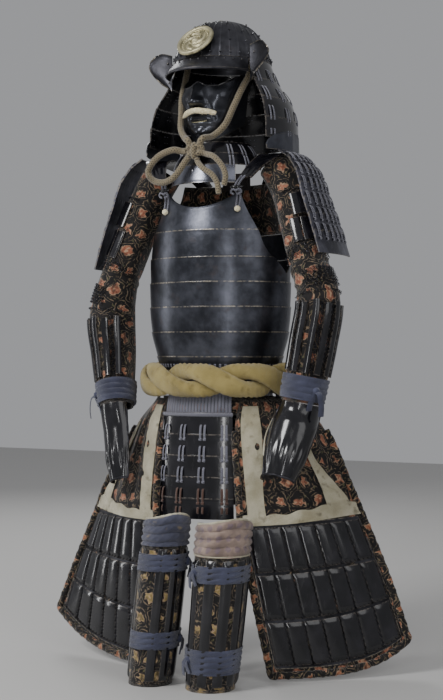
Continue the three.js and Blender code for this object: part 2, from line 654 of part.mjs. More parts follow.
// Thigh apron: a panel for each thigh, from its inner edge to its outer edge
const apronTables = {
  left: [
    { down: 0, innerX: 98, innerY: -88.2, innerZ: 644, outerX: 190, outerY: 20, outerZ: 646, bulge: 16, lift: 1 },
    { down: 0.11, innerX: 99, innerY: -116, innerZ: 580, outerX: 264, outerY: 24, outerZ: 580, bulge: 24, lift: 1 },
    { down: 0.36, innerX: 127, innerY: -154, innerZ: 425, outerX: 336, outerY: 26, outerZ: 432, bulge: 22, lift: 1 },
    { down: 0.475, innerX: 143, innerY: -173, innerZ: 352, outerX: 364, outerY: 32, outerZ: 366, bulge: 20, lift: 1.2 },
    { down: 0.73, innerX: 180, innerY: -176, innerZ: 186, outerX: 421, outerY: 47, outerZ: 222, bulge: 18, lift: 2 },
    { down: 1, innerX: 220, innerY: -172, innerZ: 12, outerX: 468, outerY: 60, outerZ: 78, bulge: 14, lift: 4 },
  ],
  right: [
    { down: 0, innerX: 98, innerY: -88.2, innerZ: 644, outerX: 176, outerY: 12, outerZ: 646, bulge: 14, lift: 1 },
    { down: 0.11, innerX: 99, innerY: -112, innerZ: 580, outerX: 228, outerY: 0, outerZ: 580, bulge: 20, lift: 1 },
    { down: 0.36, innerX: 96, innerY: -146, innerZ: 425, outerX: 300, outerY: -38, outerZ: 425, bulge: 20, lift: 1 },
    { down: 0.475, innerX: 88, innerY: -160, innerZ: 352, outerX: 326, outerY: -44, outerZ: 356, bulge: 20, lift: 1.2 },
    { down: 0.73, innerX: 62, innerY: -180, innerZ: 186, outerX: 386, outerY: -50, outerZ: 218, bulge: 18, lift: 2 },
    { down: 1, innerX: 34, innerY: -198, innerZ: 12, outerX: 436, outerY: -52, outerZ: 98, bulge: 12, lift: 3 },
  ],
};
function apronSurface(side) {
  const table = apronTables[side];
  return (across, up) => {
    const place = 1 - up;
    const value = (column) => columnAt(table, 'down', column, place);
    const width = value('outerX') - value('innerX');
    const depth = value('outerY') - value('innerY');
    const length = Math.hypot(width, depth);
    const bulge = value('bulge') * 4 * across * (1 - across);
    const rise = clamp(across, 0, 1) ** value('lift');
    return new THREE.Vector3(
      value('innerX') + width * across + (bulge * depth) / length,
      value('innerY') + depth * across - (bulge * width) / length,
      value('innerZ') + (value('outerZ') - value('innerZ')) * rise,
    );
  };
}
const EDGE_SHARE = 0.045;
const apronColumns = [0, ...steps(EDGE_SHARE, 1 - EDGE_SHARE, 7), 1];
const apronRows = [0, 0.05, 0.11, 0.19, 0.28, 0.38, 0.475, 0.56, 0.64, 0.725, 0.805, 0.885, 0.965, 1];
const upward = (places) => places.map((place) => 1 - place);
function apronRelief(row, column) {
  const atEdge = column === 0 || column === apronColumns.length - 1;
  const atBottom = row === apronRows.length - 1;
  return atBottom || (atEdge && row > 1) ? PADDED_EDGE : 0;
}
function apronPanel(side) {
  return wall(apronSurface(side), apronColumns, fixedRows(upward(apronRows)), -CLOTH, apronRelief);
}
addPair('apron', apronPanel, 'brocade');
function apronPlates(side) {
  const rows = [0.475, 0.56, 0.639, 0.641, 0.725, 0.804, 0.806, 0.885, 0.965];
  const relief = (row) => PLATE_THICKNESS + (row % 3 === 0 ? LAME_STEP : 0);
  return wall(apronSurface(side), apronColumns.slice(1, -1), fixedRows(upward(rows)), 0.6, relief);
}
addPair('apron_plates', apronPlates, 'lacquer');

// Shin guards: open at the back, standing by themselves in front of the suit
const shinGuards = {
  left: { x: 147, y: -262, foot: [118, -280], top: 300, flapTop: 382, radius: 56, flapRadius: 60 },
  right: { x: 8, y: -276, foot: [-30, -294], top: 318, flapTop: 388, radius: 50, flapRadius: 49 },
};
const SHIN_TURN = 27;
function shinSurface(guard) {
  return (angle, height) => {
    const share = height / guard.flapTop;
    const radius = mix(guard.radius, guard.flapRadius, share) + 3 * Math.sin(Math.PI * share);
    const turned = angle + SHIN_TURN;
    return new THREE.Vector3(
      mix(guard.foot[0], guard.x, share) + radius * sine(turned),
      mix(guard.foot[1], guard.y, share) - radius * cosine(turned),
      height,
    );
  };
}
const shinColumns = steps(-150, 150, 16);
const splintColumns = [4, 5, 7, 9, 11, 12];
const tieHeights = { left: [[281, 243], [95, 40]], right: [[300, 261], [124, 85]] };
for (const [side, guard] of Object.entries(shinGuards)) {
  const surface = shinSurface(guard);
  const [upper, lower] = tieHeights[side];
  const splints = (row, column) => (row > 0 && row < 7 && splintColumns.includes(column) ? SPLINT_RISE : 0);
  const rows = [guard.top, upper[0], upper[1], 210, 160, lower[0], lower[1], 0];
  addPiece(`shin_guard_${side}`, wall(surface, shinColumns, fixedRows(rows), -3, splints, false, true), 'brocade');
  const flapRows = (row, angle) => {
    const top = guard.flapTop - 30 * (1 - cosine(angle * 0.6)) + 5 * sine(angle * 2);
    return mix(top, guard.top + GAP, row / 3);
  };
  flapRows.count = 4;
  addPiece(`knee_flap_${side}`, wall(surface, shinColumns, flapRows, -4, 2, false, true), 'quilt');
  const names = ['upper', 'lower'];
  tieHeights[side].forEach(([high, low], index) => {
    const bandColumns = [...shinColumns, 165, 180, 195];
    const rise = SPLINT_RISE + GAP;
    addPiece(`shin_tie_${side}_${names[index]}`,
      wall(surface, bandColumns, fixedRows([high, low]), rise, rise + CLOTH, true, true), 'indigo');
  });
}

export default suit;
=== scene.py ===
import math

import bpy
import numpy as np
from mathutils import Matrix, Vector


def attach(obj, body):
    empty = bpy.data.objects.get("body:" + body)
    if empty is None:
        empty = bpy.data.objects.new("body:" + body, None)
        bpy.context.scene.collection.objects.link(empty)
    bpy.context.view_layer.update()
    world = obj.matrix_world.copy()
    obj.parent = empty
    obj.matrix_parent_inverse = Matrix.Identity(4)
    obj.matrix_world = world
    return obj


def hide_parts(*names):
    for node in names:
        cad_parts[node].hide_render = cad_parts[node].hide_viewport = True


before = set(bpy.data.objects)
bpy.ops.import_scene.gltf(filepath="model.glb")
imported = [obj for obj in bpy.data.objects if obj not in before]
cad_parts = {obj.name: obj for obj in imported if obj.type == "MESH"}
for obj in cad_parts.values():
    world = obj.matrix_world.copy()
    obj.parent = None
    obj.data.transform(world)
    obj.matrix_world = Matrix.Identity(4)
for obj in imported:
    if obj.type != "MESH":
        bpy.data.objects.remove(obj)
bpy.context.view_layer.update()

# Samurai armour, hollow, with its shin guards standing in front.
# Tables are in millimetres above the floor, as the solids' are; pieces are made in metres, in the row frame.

MM = 0.001
HOLD_HEIGHT = 1225
GAP = 0.3
HEAD_TURN = math.radians(-7.5)
HEAD_SHIFT = 8
rng = np.random.default_rng(7)


def to_frame(points):
    """Points in millimetres above the floor, as metres in the row frame."""
    return (np.asarray(points, float) - [0, 0, HOLD_HEIGHT]) * MM


# Camera at the photograph's angle
CAMERA_TURN = math.radians(27)
CAMERA_DISTANCE = 3.5
CAMERA_HEIGHT = 0.762
CAMERA_SIDE = 0.0037
CAMERA_SENSOR = 36
CAMERA_LENS = 72.9
camera_data = bpy.data.cameras.new("camera")
camera_data.sensor_width = CAMERA_SENSOR
camera_data.lens = CAMERA_LENS
camera = bpy.data.objects.new("camera", camera_data)
camera.location = (
    CAMERA_DISTANCE * math.sin(CAMERA_TURN) + CAMERA_SIDE * math.cos(CAMERA_TURN),
    -CAMERA_DISTANCE * math.cos(CAMERA_TURN) + CAMERA_SIDE * math.sin(CAMERA_TURN),
    CAMERA_HEIGHT - HOLD_HEIGHT * MM,
)
camera.rotation_euler = (math.radians(90), 0, CAMERA_TURN)
bpy.context.scene.collection.objects.link(camera)
bpy.context.scene.camera = camera


# Shader graphs, written as arithmetic
def paint(red, green, blue):
    """An sRGB colour of 0 to 255 as linear red, green, blue and alpha."""
    parts = [value / 255 for value in (red, green, blue)]
    return [x / 12.92 if x < 0.04045 else ((x + 0.055) / 1.055) ** 2.4 for x in parts] + [1]


class Wire:
    """A number or colour on a shader wire. Arithmetic on it adds Math nodes."""

    def __init__(self, graph, socket):
        self.graph, self.socket = graph, socket

    def math(self, operation, *others):
        return self.graph.math(operation, self, *others)

    def __add__(self, other):
        return self.math("ADD", other)

    def __sub__(self, other):
        return self.math("SUBTRACT", other)

    def __rsub__(self, other):
        return self.graph.math("SUBTRACT", other, self)

    def __mul__(self, other):
        return self.math("MULTIPLY", other)

    def __truediv__(self, other):
        return self.math("DIVIDE", other)

    def __mod__(self, other):
        return self.math("FLOORED_MODULO", other)

    def __lt__(self, other):
        return self.math("LESS_THAN", other)

    def __gt__(self, other):
        return self.math("GREATER_THAN", other)

    __radd__ = __add__
    __rmul__ = __mul__

    def floor(self):
        return self.math("FLOOR")

    def sin(self):
        return self.math("SINE")

    def abs(self):
        return self.math("ABSOLUTE")

    def step(self, low, high):
        """0 below low and 1 above high, smooth between."""
        node = self.graph.node("ShaderNodeMapRange", interpolation_type="SMOOTHSTEP")
        self.graph.link(node.inputs["Value"], self)
        node.inputs["From Min"].default_value = low
        node.inputs["From Max"].default_value = high
        return Wire(self.graph, node.outputs["Result"])

    def line(self, width, soft=0.5):
        """1 where this is nearer 0 than width, with a soft edge."""
        return 1 - self.abs().step(width * (1 - soft), width)


class Graph:
    """One material's nodes."""

    def __init__(self, name, **shader):
        self.material = bpy.data.materials.new(name)
        self.material.use_nodes = True
        self.tree = self.material.node_tree
        self.tree.nodes.clear()
        output = self.node("ShaderNodeOutputMaterial")
        self.shader = self.node("ShaderNodeBsdfPrincipled")
        self.tree.links.new(self.shader.outputs[0], output.inputs[0])
        self.set(**shader)
        attribute = self.node("ShaderNodeAttribute", attribute_name="cloth")
        parts = self.node("ShaderNodeSeparateXYZ")
        self.tree.links.new(attribute.outputs["Vector"], parts.inputs[0])
        self.flat = Wire(self, attribute.outputs["Vector"])
        self.across, self.along, self.wear_and_highlight = [Wire(self, socket) for socket in parts.outputs]
        self.place = Wire(self, self.node("ShaderNodeTexCoord").outputs["Object"])

    def node(self, kind, **settings):
        made = self.tree.nodes.new(kind)
        for key, value in settings.items():
            setattr(made, key, value)
        return made

    def link(self, socket, value):
        if isinstance(value, Wire):
            self.tree.links.new(value.socket, socket)
        else:
            socket.default_value = value

    def set(self, **values):
        """Sets the shader's sockets, such as base_color or roughness."""
        for key, value in values.items():
            name = "Specular IOR Level" if key == "specular_ior_level" else key.replace("_", " ").title()
            self.link(self.shader.inputs[name], value)

    def math(self, operation, *values):
        made = self.node("ShaderNodeMath", operation=operation)
        for socket, value in zip(made.inputs, values):
            self.link(socket, value)
        return Wire(self, made.outputs[0])

    def noise(self, scale, detail=3.0, where=None, stretch=(1, 1, 1)):
        """Noise from 0 to 1, about its scale in cells to the metre."""
        mapping = self.node("ShaderNodeMapping")
        mapping.inputs["Scale"].default_value = stretch
        self.link(mapping.inputs["Vector"], where or self.place)
        made = self.node("ShaderNodeTexNoise")
        self.tree.links.new(mapping.outputs[0], made.inputs["Vector"])
        made.inputs["Scale"].default_value = scale
        made.inputs["Detail"].default_value = detail
        return Wire(self, made.outputs["Fac"])

    def mix(self, below, above, share):
        """A colour between two, by a share from 0 to 1."""
        made = self.node("ShaderNodeMix", data_type="RGBA", clamp_factor=True)
        self.link(made.inputs[0], share)
        self.link(made.inputs[6], below)
        self.link(made.inputs[7], above)
        return Wire(self, made.outputs[2])

    def bump(self, height, distance):
        """Raises the surface by the height, times the distance in metres."""
        made = self.node("ShaderNodeBump")
        made.inputs["Distance"].default_value = distance
        self.link(made.inputs["Height"], height)
        self.link(self.shader.inputs["Normal"], Wire(self, made.outputs[0]))

    def weave(self, pitch):
        """A plain weave's height from 0 to 1, for threads that far apart."""
        turn = math.tau / pitch
        return (self.across * turn).sin() * (self.along * turn).sin() * 0.5 + 0.5


# Materials
def lacquer():
    graph = Graph("lacquer", coat_weight=0.35, coat_roughness=0.06, specular_ior_level=0.42)
    clouds = graph.noise(22, 5)
    scuffs = graph.noise(90, 6, stretch=(1, 1, 0.3)).step(0.56, 0.7)
    base = graph.mix(paint(13, 13, 17), paint(30, 29, 34), clouds.step(0.35, 0.75))
    # Pale where the wear channel is high: rubbed wear on plate borders, and a painted highlight on lame top
    # edges.
    rubbed_and_highlit = graph.wear_and_highlight.step(0.35, 1.0) * graph.noise(160, 4).step(0.38, 0.6)
    base = graph.mix(base, paint(96, 88, 80), rubbed_and_highlit * 0.75)
    graph.set(base_color=base, roughness=0.13 + scuffs * 0.14 + clouds * 0.08 + rubbed_and_highlit * 0.2)
    graph.bump(graph.noise(38, 2) * 0.6 + graph.noise(300, 2) * 0.12, 0.00045)
    return graph.material


def iron(name, dark, light, shine, relief=0.0005):
    graph = Graph(name, specular_ior_level=0.5)
    clouds = graph.noise(9, 5)
    fine = graph.noise(60, 5)
    rust = graph.noise(26, 6).step(0.6, 0.78)
    base = graph.mix(paint(*dark), paint(*light), (clouds * 0.8 + fine * 0.3).step(0.4, 0.75))
    base = graph.mix(base, paint(64, 50, 42), rust * 0.4)
    # Pale where the wear channel is high: wear on edges, and a painted highlight on lame top edges.
    worn_and_highlit = graph.wear_and_highlight.step(0.45, 1.0) * graph.noise(150, 4).step(0.36, 0.6)
    base = graph.mix(base, paint(150, 142, 128), worn_and_highlit * 0.8)
    graph.set(base_color=base, metallic=0.8, roughness=shine + clouds * 0.12 + rust * 0.15)
    graph.bump(fine * 0.5 + graph.noise(220, 3) * 0.3, relief)
    return graph.material


def brass():
    graph = Graph("brass", metallic=0.9)
    clouds = graph.noise(60, 5)
    fine = graph.noise(420, 4)
    base = graph.mix(paint(92, 88, 68), paint(196, 188, 152), (clouds * 0.5 + fine * 0.6).step(0.4, 0.7))
    base = graph.mix(base, paint(214, 206, 172), graph.wear_and_highlight * 0.6)
    graph.set(base_color=base, roughness=0.34 + clouds * 0.2)
    graph.bump(fine, 0.0006)
    return graph.material


def braid(name, dark, light, pitch, strands):
    """A braided cord or lace: strands that cross on slanting lines."""
    graph = Graph(name, sheen_weight=0.35, sheen_roughness=0.5, specular_ior_level=0.25)
    turn = math.tau / pitch
    slant = graph.across * (turn * strands)
    rising = (slant + graph.along * turn).sin()
    falling = (slant - graph.along * turn).sin()
    height = rising.math("MAXIMUM", falling) * 0.5 + 0.5
    threads = graph.noise(900, 2)
    # The strands' crowns are painted pale and the grooves between them dark: painted shade between strands.
    base = graph.mix(paint(*dark), paint(*light), (height * 0.7 + threads * 0.4).step(0.25, 1.0))
    base = graph.mix(base, paint(*[x * 0.6 for x in dark]), graph.noise(30, 4).step(0.55, 0.8) * 0.5)
    graph.set(base_color=base, roughness=0.85)
    graph.bump(height + threads * 0.3, 0.0011)
    return graph.material


def cloth(name, dark, light, pitch, rough=0.85, stain=None):
    """A plain woven cloth with stains and faded patches."""
    graph = Graph(name, sheen_weight=0.3, sheen_roughness=0.5, specular_ior_level=0.3)
    height = graph.weave(pitch)
    clouds = graph.noise(18, 6)
    # The weave's height also sets the colour, darker between threads: painted shade.
    base = graph.mix(paint(*dark), paint(*light), (clouds * 0.8 + height * 0.25).step(0.3, 0.85))
    if stain:
        base = graph.mix(base, paint(*stain), graph.noise(46, 6).step(0.56, 0.74) * 0.7)
    graph.set(base_color=base, roughness=rough)
    graph.bump(height * 0.7 + graph.noise(240, 3) * 0.6, 0.0007)
    return graph.material


def brocade(name, cell, low, high, leaf_tint, present=0.44):
    """Black brocade with scattered blossoms, leaves and pale scrolls, in rows offset by half."""
    graph = Graph(name, sheen_weight=0.35, sheen_roughness=0.4, specular_ior_level=0.3)
    row = (graph.along / cell).floor()
    x = (graph.across / cell + row * 0.5) % 1 - 0.5
    y = (graph.along / cell) % 1 - 0.5
    x = x + (graph.noise(26, 3, graph.flat) - 0.5) * 0.9
    y = y + (graph.noise(26, 3, graph.flat, (1, 1.7, 1)) - 0.5) * 0.9
    radius = (x * x + y * y).math("SQRT")
    angle = graph.math("ARCTAN2", y, x)
    petals = (angle * 5).sin() * 0.05 + (angle * 3 + 1).sin() * 0.03 + 0.22
    seen = graph.noise(1.1 / cell, 2, graph.flat, (1, 1, 2.2)).step(present, present + 0.07)
    blossom = (1 - (radius - petals).step(-0.025, 0.025)) * seen
    heart = (1 - radius.step(0.03, 0.07)) * seen
    veins = (angle * 5).sin().line(0.3) * radius.step(0.06, 0.14) * blossom
    rim = (radius - petals).line(0.04) * seen
    spiral = (radius * 5 - angle / math.tau) % 1 - 0.5
    scroll = spiral.line(0.15) * radius.step(0.25, 0.3) * graph.noise(60, 3, graph.flat).step(0.38, 0.48)
    leaf_x = (graph.across / cell * 2.3 + row * 0.5 + 0.25) % 1 - 0.5
    leaf_y = (graph.along / cell * 2.3 + 0.4) % 1 - 0.5
    leaf_length, leaf_width = leaf_x - leaf_y, leaf_x + leaf_y
    leaf = 1 - (leaf_width * leaf_width * 7 + leaf_length * leaf_length * 1.6).step(0.14, 0.22)
    leaf = leaf * graph.noise(34, 3, graph.flat, (2, 1, 1)).step(0.46, 0.56)
    threads = (graph.along * (math.tau / 0.0012)).sin() * 0.5 + 0.5
    base = graph.mix(paint(15, 13, 14), paint(30, 26, 26), graph.noise(30, 4).step(0.4, 0.7))
    base = graph.mix(base, paint(*leaf_tint), leaf * radius.step(0.3, 0.34) * 0.8)
    base = graph.mix(base, paint(132, 114, 92), scroll * 0.7)
    warm = graph.mix(paint(*low), paint(*high), graph.noise(90, 4).step(0.35, 0.7))
    base = graph.mix(base, warm, blossom * 0.95)
    base = graph.mix(base, paint(70, 36, 30), veins * 0.65)
    base = graph.mix(base, paint(178, 150, 122), (rim * 0.6 + heart * 0.7))
    base = graph.mix(base, paint(20, 17, 17), graph.noise(70, 6).step(0.5, 0.68) * 0.75)
    graph.set(base_color=base, roughness=0.78)
    raised = blossom.math("MAXIMUM", scroll) * 0.6 + threads * 0.25 + graph.noise(500, 2) * 0.2
    graph.bump(raised, 0.0008)
    return graph.material


def quilt():
    graph = Graph("quilt", sheen_weight=0.25, sheen_roughness=0.5, specular_ior_level=0.25)
    print_x = (graph.across / 0.022) % 1 - 0.5
    print_y = (graph.along / 0.022) % 1 - 0.5
    motif = 1 - (print_x * print_x + print_y * print_y + (graph.noise(150, 3) - 0.5) * 0.25).step(0.05, 0.1)
    base = graph.mix(paint(118, 102, 94), paint(164, 144, 132), graph.noise(26, 5).step(0.35, 0.7))
    base = graph.mix(base, paint(112, 96, 112), motif * 0.55)
    base = graph.mix(base, paint(92, 78, 72), graph.noise(60, 6).step(0.58, 0.74) * 0.55)
    graph.set(base_color=base, roughness=0.88)
    graph.bump(graph.weave(0.0016) * 0.6 + graph.noise(240, 3) * 0.6, 0.0007)
    return graph.material


def hair():
    graph = Graph("hair", sheen_weight=0.3, specular_ior_level=0.35)
    base = graph.mix(paint(214, 200, 158), paint(242, 234, 206), graph.noise(300, 3).step(0.35, 0.65))
    graph.set(base_color=base, roughness=0.6)
    graph.bump(graph.noise(900, 2), 0.0004)
    return graph.material


MATERIALS = {
    "lacquer": lacquer(),
    "iron": iron("iron", (44, 46, 52), (84, 86, 95), 0.26),
    "helmet_iron": iron("helmet_iron", (44, 44, 48), (84, 84, 90), 0.3),
    "mask_lacquer": iron("mask_lacquer", (44, 45, 50), (76, 78, 84), 0.15, 0.0002),
    "bright_iron": iron("bright_iron", (92, 94, 104), (140, 142, 152), 0.22, 0.0002),
    "brass": brass(),
    "hair": hair(),
    "cord": braid("cord", (62, 56, 45), (138, 126, 102), 0.0062, 1.0),
    "lacing": braid("lacing", (62, 62, 72), (128, 128, 140), 0.0042, 0.9),
    "red_lacing": braid("red_lacing", (54, 38, 34), (100, 74, 64), 0.0042, 0.9),
    "brocade": brocade("brocade", 0.048, (132, 78, 58), (178, 122, 96), (88, 86, 60), 0.41),
    "olive_brocade": brocade("olive_brocade", 0.046, (128, 110, 66), (160, 140, 94), (96, 92, 62), 0.34),
    "edging": brocade("edging", 0.034, (138, 80, 56), (180, 124, 92), (96, 90, 62), 0.3),
    "belt": cloth("belt", (140, 124, 70), (182, 164, 104), 0.0011, stain=(120, 104, 56)),
    "indigo": cloth("indigo", (46, 48, 66), (84, 88, 112), 0.0012),
    "quilt": quilt(),
    "indigo_quilt": cloth("indigo_quilt", (48, 50, 66), (92, 94, 114), 0.0014, stain=(150, 132, 92)),
    "cream_cloth": cloth("cream_cloth", (150, 142, 114), (218, 212, 190), 0.0014, stain=(98, 90, 68)),
    "mail": iron("mail", (28, 28, 31), (66, 66, 72), 0.32),
    "guard_lacquer": iron("guard_lacquer", (52, 52, 60), (112, 112, 124), 0.34),
    "lining": cloth("lining", (40, 34, 34), (66, 56, 52), 0.0014),
}


# Shapes
def sine(degrees):
    return np.sin(np.radians(degrees))


def cosine(degrees):
    return np.cos(np.radians(degrees))


def clamp(values, low=0.0, high=1.0):
    return np.clip(values, low, high)


def bump(distance, width):
    """1 at no distance, and almost nothing beyond twice the width."""
    return np.exp(-((distance / width) ** 2))


def smooth(values, low, high):
    part = clamp((values - low) / (high - low))
    return part * part * (3 - 2 * part)


def border_of(u, v):
    """How far each point of a panel is from the panel's nearest edge."""
    return np.minimum(np.minimum(u - u.min(), u.max() - u), np.minimum(v, v.max() - v))


def worn_border(a, d, u, v):
    """Wear of a plate that is rubbed bright along its border."""
    return bump(border_of(u, v), 1.6)


def column(table, key, name):
    """One column of a table as a smooth function of its key column."""
    keys = np.array([row[key] for row in table], float)
    values = np.array([row[name] for row in table], float)
    if keys[0] > keys[-1]:
        keys, values = keys[::-1], values[::-1]

    def at(place):
        place = np.asarray(place, float)
        low = np.clip(np.searchsorted(keys, place, side="right") - 1, 0, len(keys) - 2)
        before, after = np.maximum(low - 1, 0), np.minimum(low + 2, len(keys) - 1)
        span = keys[low + 1] - keys[low]
        part = clamp((place - keys[low]) / span)
        start = (values[low + 1] - values[before]) / (keys[low + 1] - keys[before]) * span
        end = (values[after] - values[low]) / (keys[after] - keys[low]) * span
        square, cube = part**2, part**3
        return ((2 * cube - 3 * square + 1) * values[low] + (cube - 2 * square + part) * start
                + (3 * square - 2 * cube) * values[low + 1] + (cube - square) * end)

    return at


def rows_of(names, *rows):
    """A table: a list of rows with named columns."""
    return [dict(zip(names.split(), row)) for row in rows]


def curve(points, count):
    """Points spaced evenly along a smooth line through the given ones."""
    points = np.asarray(points, float)
    knots = np.concatenate([[0], np.cumsum(np.sqrt(np.linalg.norm(np.diff(points, axis=0), axis=1)))])
    table = [{"t": t, "x": p[0], "y": p[1], "z": p[2]} for t, p in zip(knots, points)]
    fine = np.linspace(0, knots[-1], 40 * len(points))
    line = np.stack([column(table, "t", axis)(fine) for axis in "xyz"], 1)
    length = np.concatenate([[0], np.cumsum(np.linalg.norm(np.diff(line, axis=0), axis=1))])
    even = np.linspace(0, length[-1], count)
    return np.stack([np.interp(even, length, line[:, k]) for k in range(3)], 1)


def unit(vectors):
    return vectors / np.maximum(np.linalg.norm(vectors, axis=-1, keepdims=True), 1e-9)


class Part:
    """Points in millimetres, faces, and for each face corner its place on the cloth and its wear, which on
    lame top edges is a painted highlight.
    """

    def __init__(self, points, faces, cloth):
        self.points, self.faces, self.cloth = points, faces, cloth

    def mirrored(self):
        return Part(self.points * [-1, 1, 1], self.faces[:, ::-1], self.cloth[:, ::-1])

    def in_head(self):
        return Part(head_to_suit(self.points), self.faces, self.cloth)


# Each side's version of a part that is made for the wearer's left
TURNED = {"left": lambda part: part, "right": Part.mirrored}


def head_to_suit(points):
    turn = np.array([[math.cos(HEAD_TURN), math.sin(HEAD_TURN), 0],
                     [-math.sin(HEAD_TURN), math.cos(HEAD_TURN), 0], [0, 0, 1]])
    return np.asarray(points, float) @ turn + [HEAD_SHIFT, 0, 0]


def joined(parts):
    """Several parts as one."""
    offsets = np.cumsum([0] + [len(part.points) for part in parts[:-1]])
    return Part(np.concatenate([part.points for part in parts]),
                np.concatenate([part.faces + offset for part, offset in zip(parts, offsets)]),
                np.concatenate([part.cloth for part in parts]))


def cells(rows, columns, closed):
    """Quads of a grid as point numbers, and the same corners in a grid with its seam column kept."""
    r, c = np.mgrid[0 : rows - 1, 0 : (columns if closed else columns - 1)]

    def quads(width, after):
        below = r + 1
        corners = [r * width + c, below * width + c, below * width + after, r * width + after]
        return np.stack(corners, -1).reshape(-1, 4)

    return quads(columns, (c + 1) % columns), quads(columns + 1 if closed else columns, c + 1)


def lengths(points, closed):
    """How far each column is across from the middle one, and each row down from the first, in millimetres."""
    beside = np.roll(points, -1, axis=1) - points
    across = np.concatenate([[0], np.cumsum(np.linalg.norm(beside, axis=2).mean(0))])
    if not closed:
        across = across[:-1]
    down = np.concatenate([[0], np.cumsum(np.linalg.norm(np.diff(points, axis=0), axis=2).mean(1))])
    return across - across[len(across) // 2], down


def normals_of(points, closed):
    """Outward normals of a grid of points."""
    if closed:
        right = np.roll(points, -1, axis=1) - np.roll(points, 1, axis=1)
    else:
        right = np.gradient(points, axis=1)
    below = np.gradient(points, axis=0)
    return unit(np.cross(below, right))


def wall(surface, across, down, inner, outer, closed=False, level=False, wear_and_highlight=None):
    """A closed wall between two offsets of a surface. From outside, columns run right and rows down."""
    across = np.asarray(across, float)
    down = np.asarray(down, float)
    if down.ndim == 1:
        down = np.repeat(down[:, None], len(across), axis=1)
    across = np.repeat(across[None, :], len(down), axis=0)
    points = surface(across, down)
    normals = normals_of(points, closed)
    if level:
        normals[..., 2] = 0
        normals = unit(normals)
    u_line, v_line = lengths(points, closed)
    v, u = np.meshgrid(v_line, u_line[: points.shape[1]], indexing="ij")
    value = lambda offset: offset(across, down, u, v) if callable(offset) else np.full(u.shape, float(offset))
    layers = [points + normals * value(offset)[..., None] for offset in (outer, inner)]
    rows, columns = u.shape
    quads, corners = cells(rows, columns, closed)
    if wear_and_highlight is None:
        worn_and_highlit = bump(np.minimum(v, v_line[-1] - v) if closed else border_of(u, v), 3.0)
    else:
        worn_and_highlit = wear_and_highlight(across, down, u, v)
    if closed:
        worn_and_highlit = np.concatenate([worn_and_highlit, worn_and_highlit[:, :1]], axis=1)
    v_full, u_full = np.meshgrid(v_line, u_line, indexing="ij")
    flat = np.stack([u_full * MM, v_full * MM, worn_and_highlit], -1).reshape(-1, 3)
    cloth_of = flat[corners]
    count = rows * columns
    faces = [quads, quads[:, ::-1] + count]
    cloths = [cloth_of, cloth_of[:, ::-1]]

    def rim(ids):
        near, far = ids[:-1], ids[1:]
        faces.append(np.stack([far, near, near + count, far + count], -1))
        cloths.append(np.tile(flat[0] * 0 + [0, 0, 0.8], (len(near), 4, 1)))

    last = columns + 1 if closed else columns
    index = lambda r, c: r * columns + c % columns
    rim(np.array([index(rows - 1, c) for c in range(last)]))
    rim(np.array([index(0, c) for c in range(last)])[::-1])
    if not closed:
        rim(np.array([index(r, columns - 1) for r in range(rows)])[::-1])
        rim(np.array([index(r, 0) for r in range(rows)]))
    return Part(np.concatenate([layer.reshape(-1, 3) for layer in layers]),
                np.concatenate(faces), np.concatenate(cloths))


def tube(line, radius, sides, relief=None, flat=None):
    """A tube along a line of points. With flat, one normal or a normal for each point, the section is a
    flat strip's: radius is then (half its width, half its thickness)."""
    line = np.asarray(line, float)
    along = unit(np.gradient(line, axis=0))
    if flat is None:
        up = np.array([0, 0, 1.0]) if abs(along[0, 2]) < 0.9 else np.array([1.0, 0, 0])
        sides_to = []
        for direction in along:
            up = unit(up - direction * (up @ direction))
            sides_to.append(up)
        up = np.array(sides_to)
        wide, thick = radius, radius
    else:
        up = unit(flat - along * (flat * along).sum(1, keepdims=True))
        wide, thick = radius
    beside = np.cross(along, up)
    angles = np.linspace(0, math.tau, sides, endpoint=False)
    length = np.concatenate([[0], np.cumsum(np.linalg.norm(np.diff(line, axis=0), axis=1))])
    wide = np.broadcast_to(np.asarray(wide, float), len(line))
    thick = np.broadcast_to(np.asarray(thick, float), len(line))
    grow = relief(*np.meshgrid(angles, length))[..., None] if relief else 1.0
    ring = (beside[:, None] * (np.cos(angles)[None, :, None] * wide[:, None, None])
            + up[:, None] * (np.sin(angles)[None, :, None] * thick[:, None, None]))
    points = (line[:, None] + ring * grow).reshape(-1, 3)
    quads, corners = cells(len(line), sides, True)
    quads, corners = quads[:, ::-1], corners[:, ::-1]
    around = np.linspace(0, 2 * float(wide.max()) + 2 * float(thick.max()), sides + 1)
    v, u = np.meshgrid(length, around, indexing="ij")
    flat_places = np.stack([u * MM, v * MM, u * 0], -1).reshape(-1, 3)
    ends = [line[0] - along[0] * thick[0] * 0.35, line[-1] + along[-1] * thick[-1] * 0.35]
    caps, places = [], []
    for number, start in ((0, 0), (1, (len(line) - 1) * sides)):
        for k in range(sides):
            pair = [start + k, start + (k + 1) % sides]
            pair = pair if number == 0 else pair[::-1]
            caps.append([pair[0], pair[1], len(points) + number, len(points) + number])
            places.append(np.tile([k * 0.001, length[-1 if number else 0] * MM, 0], (4, 1)))
    return Part(np.concatenate([points, ends]), np.concatenate([quads, caps]),
                np.concatenate([flat_places[corners], places]))


def dome(places, normals, radius, height, sides=8):
    """Small domes, such as rivet heads, at places on a surface."""
    profile = np.array([[1, 0], [0.94, 0.45], [0.62, 0.88]])
    places, normals = np.asarray(places, float), unit(np.asarray(normals, float))
    angles = np.linspace(0, math.tau, sides, endpoint=False)
    side = unit(np.cross(normals, [0.3, 0.2, 1.0]))
    other = np.cross(normals, side)
    parts = []
    for place, up, a, b in zip(places, normals, side, other):
        rings = [place + up * h * height + radius * r * (np.cos(t) * a + np.sin(t) * b)
                 for r, h in profile for t in angles]
        points = np.array(rings + [place + up * height])
        faces = [[k * sides + j, k * sides + (j + 1) % sides, (k + 1) * sides + (j + 1) % sides,
                  (k + 1) * sides + j] for k in range(2) for j in range(sides)]
        faces += [[2 * sides + j, 2 * sides + (j + 1) % sides, 3 * sides, 3 * sides] for j in range(sides)]
        parts.append(Part(points, np.array(faces), np.full((len(faces), 4, 3), [0, 0, 0.6])))
    return joined(parts)


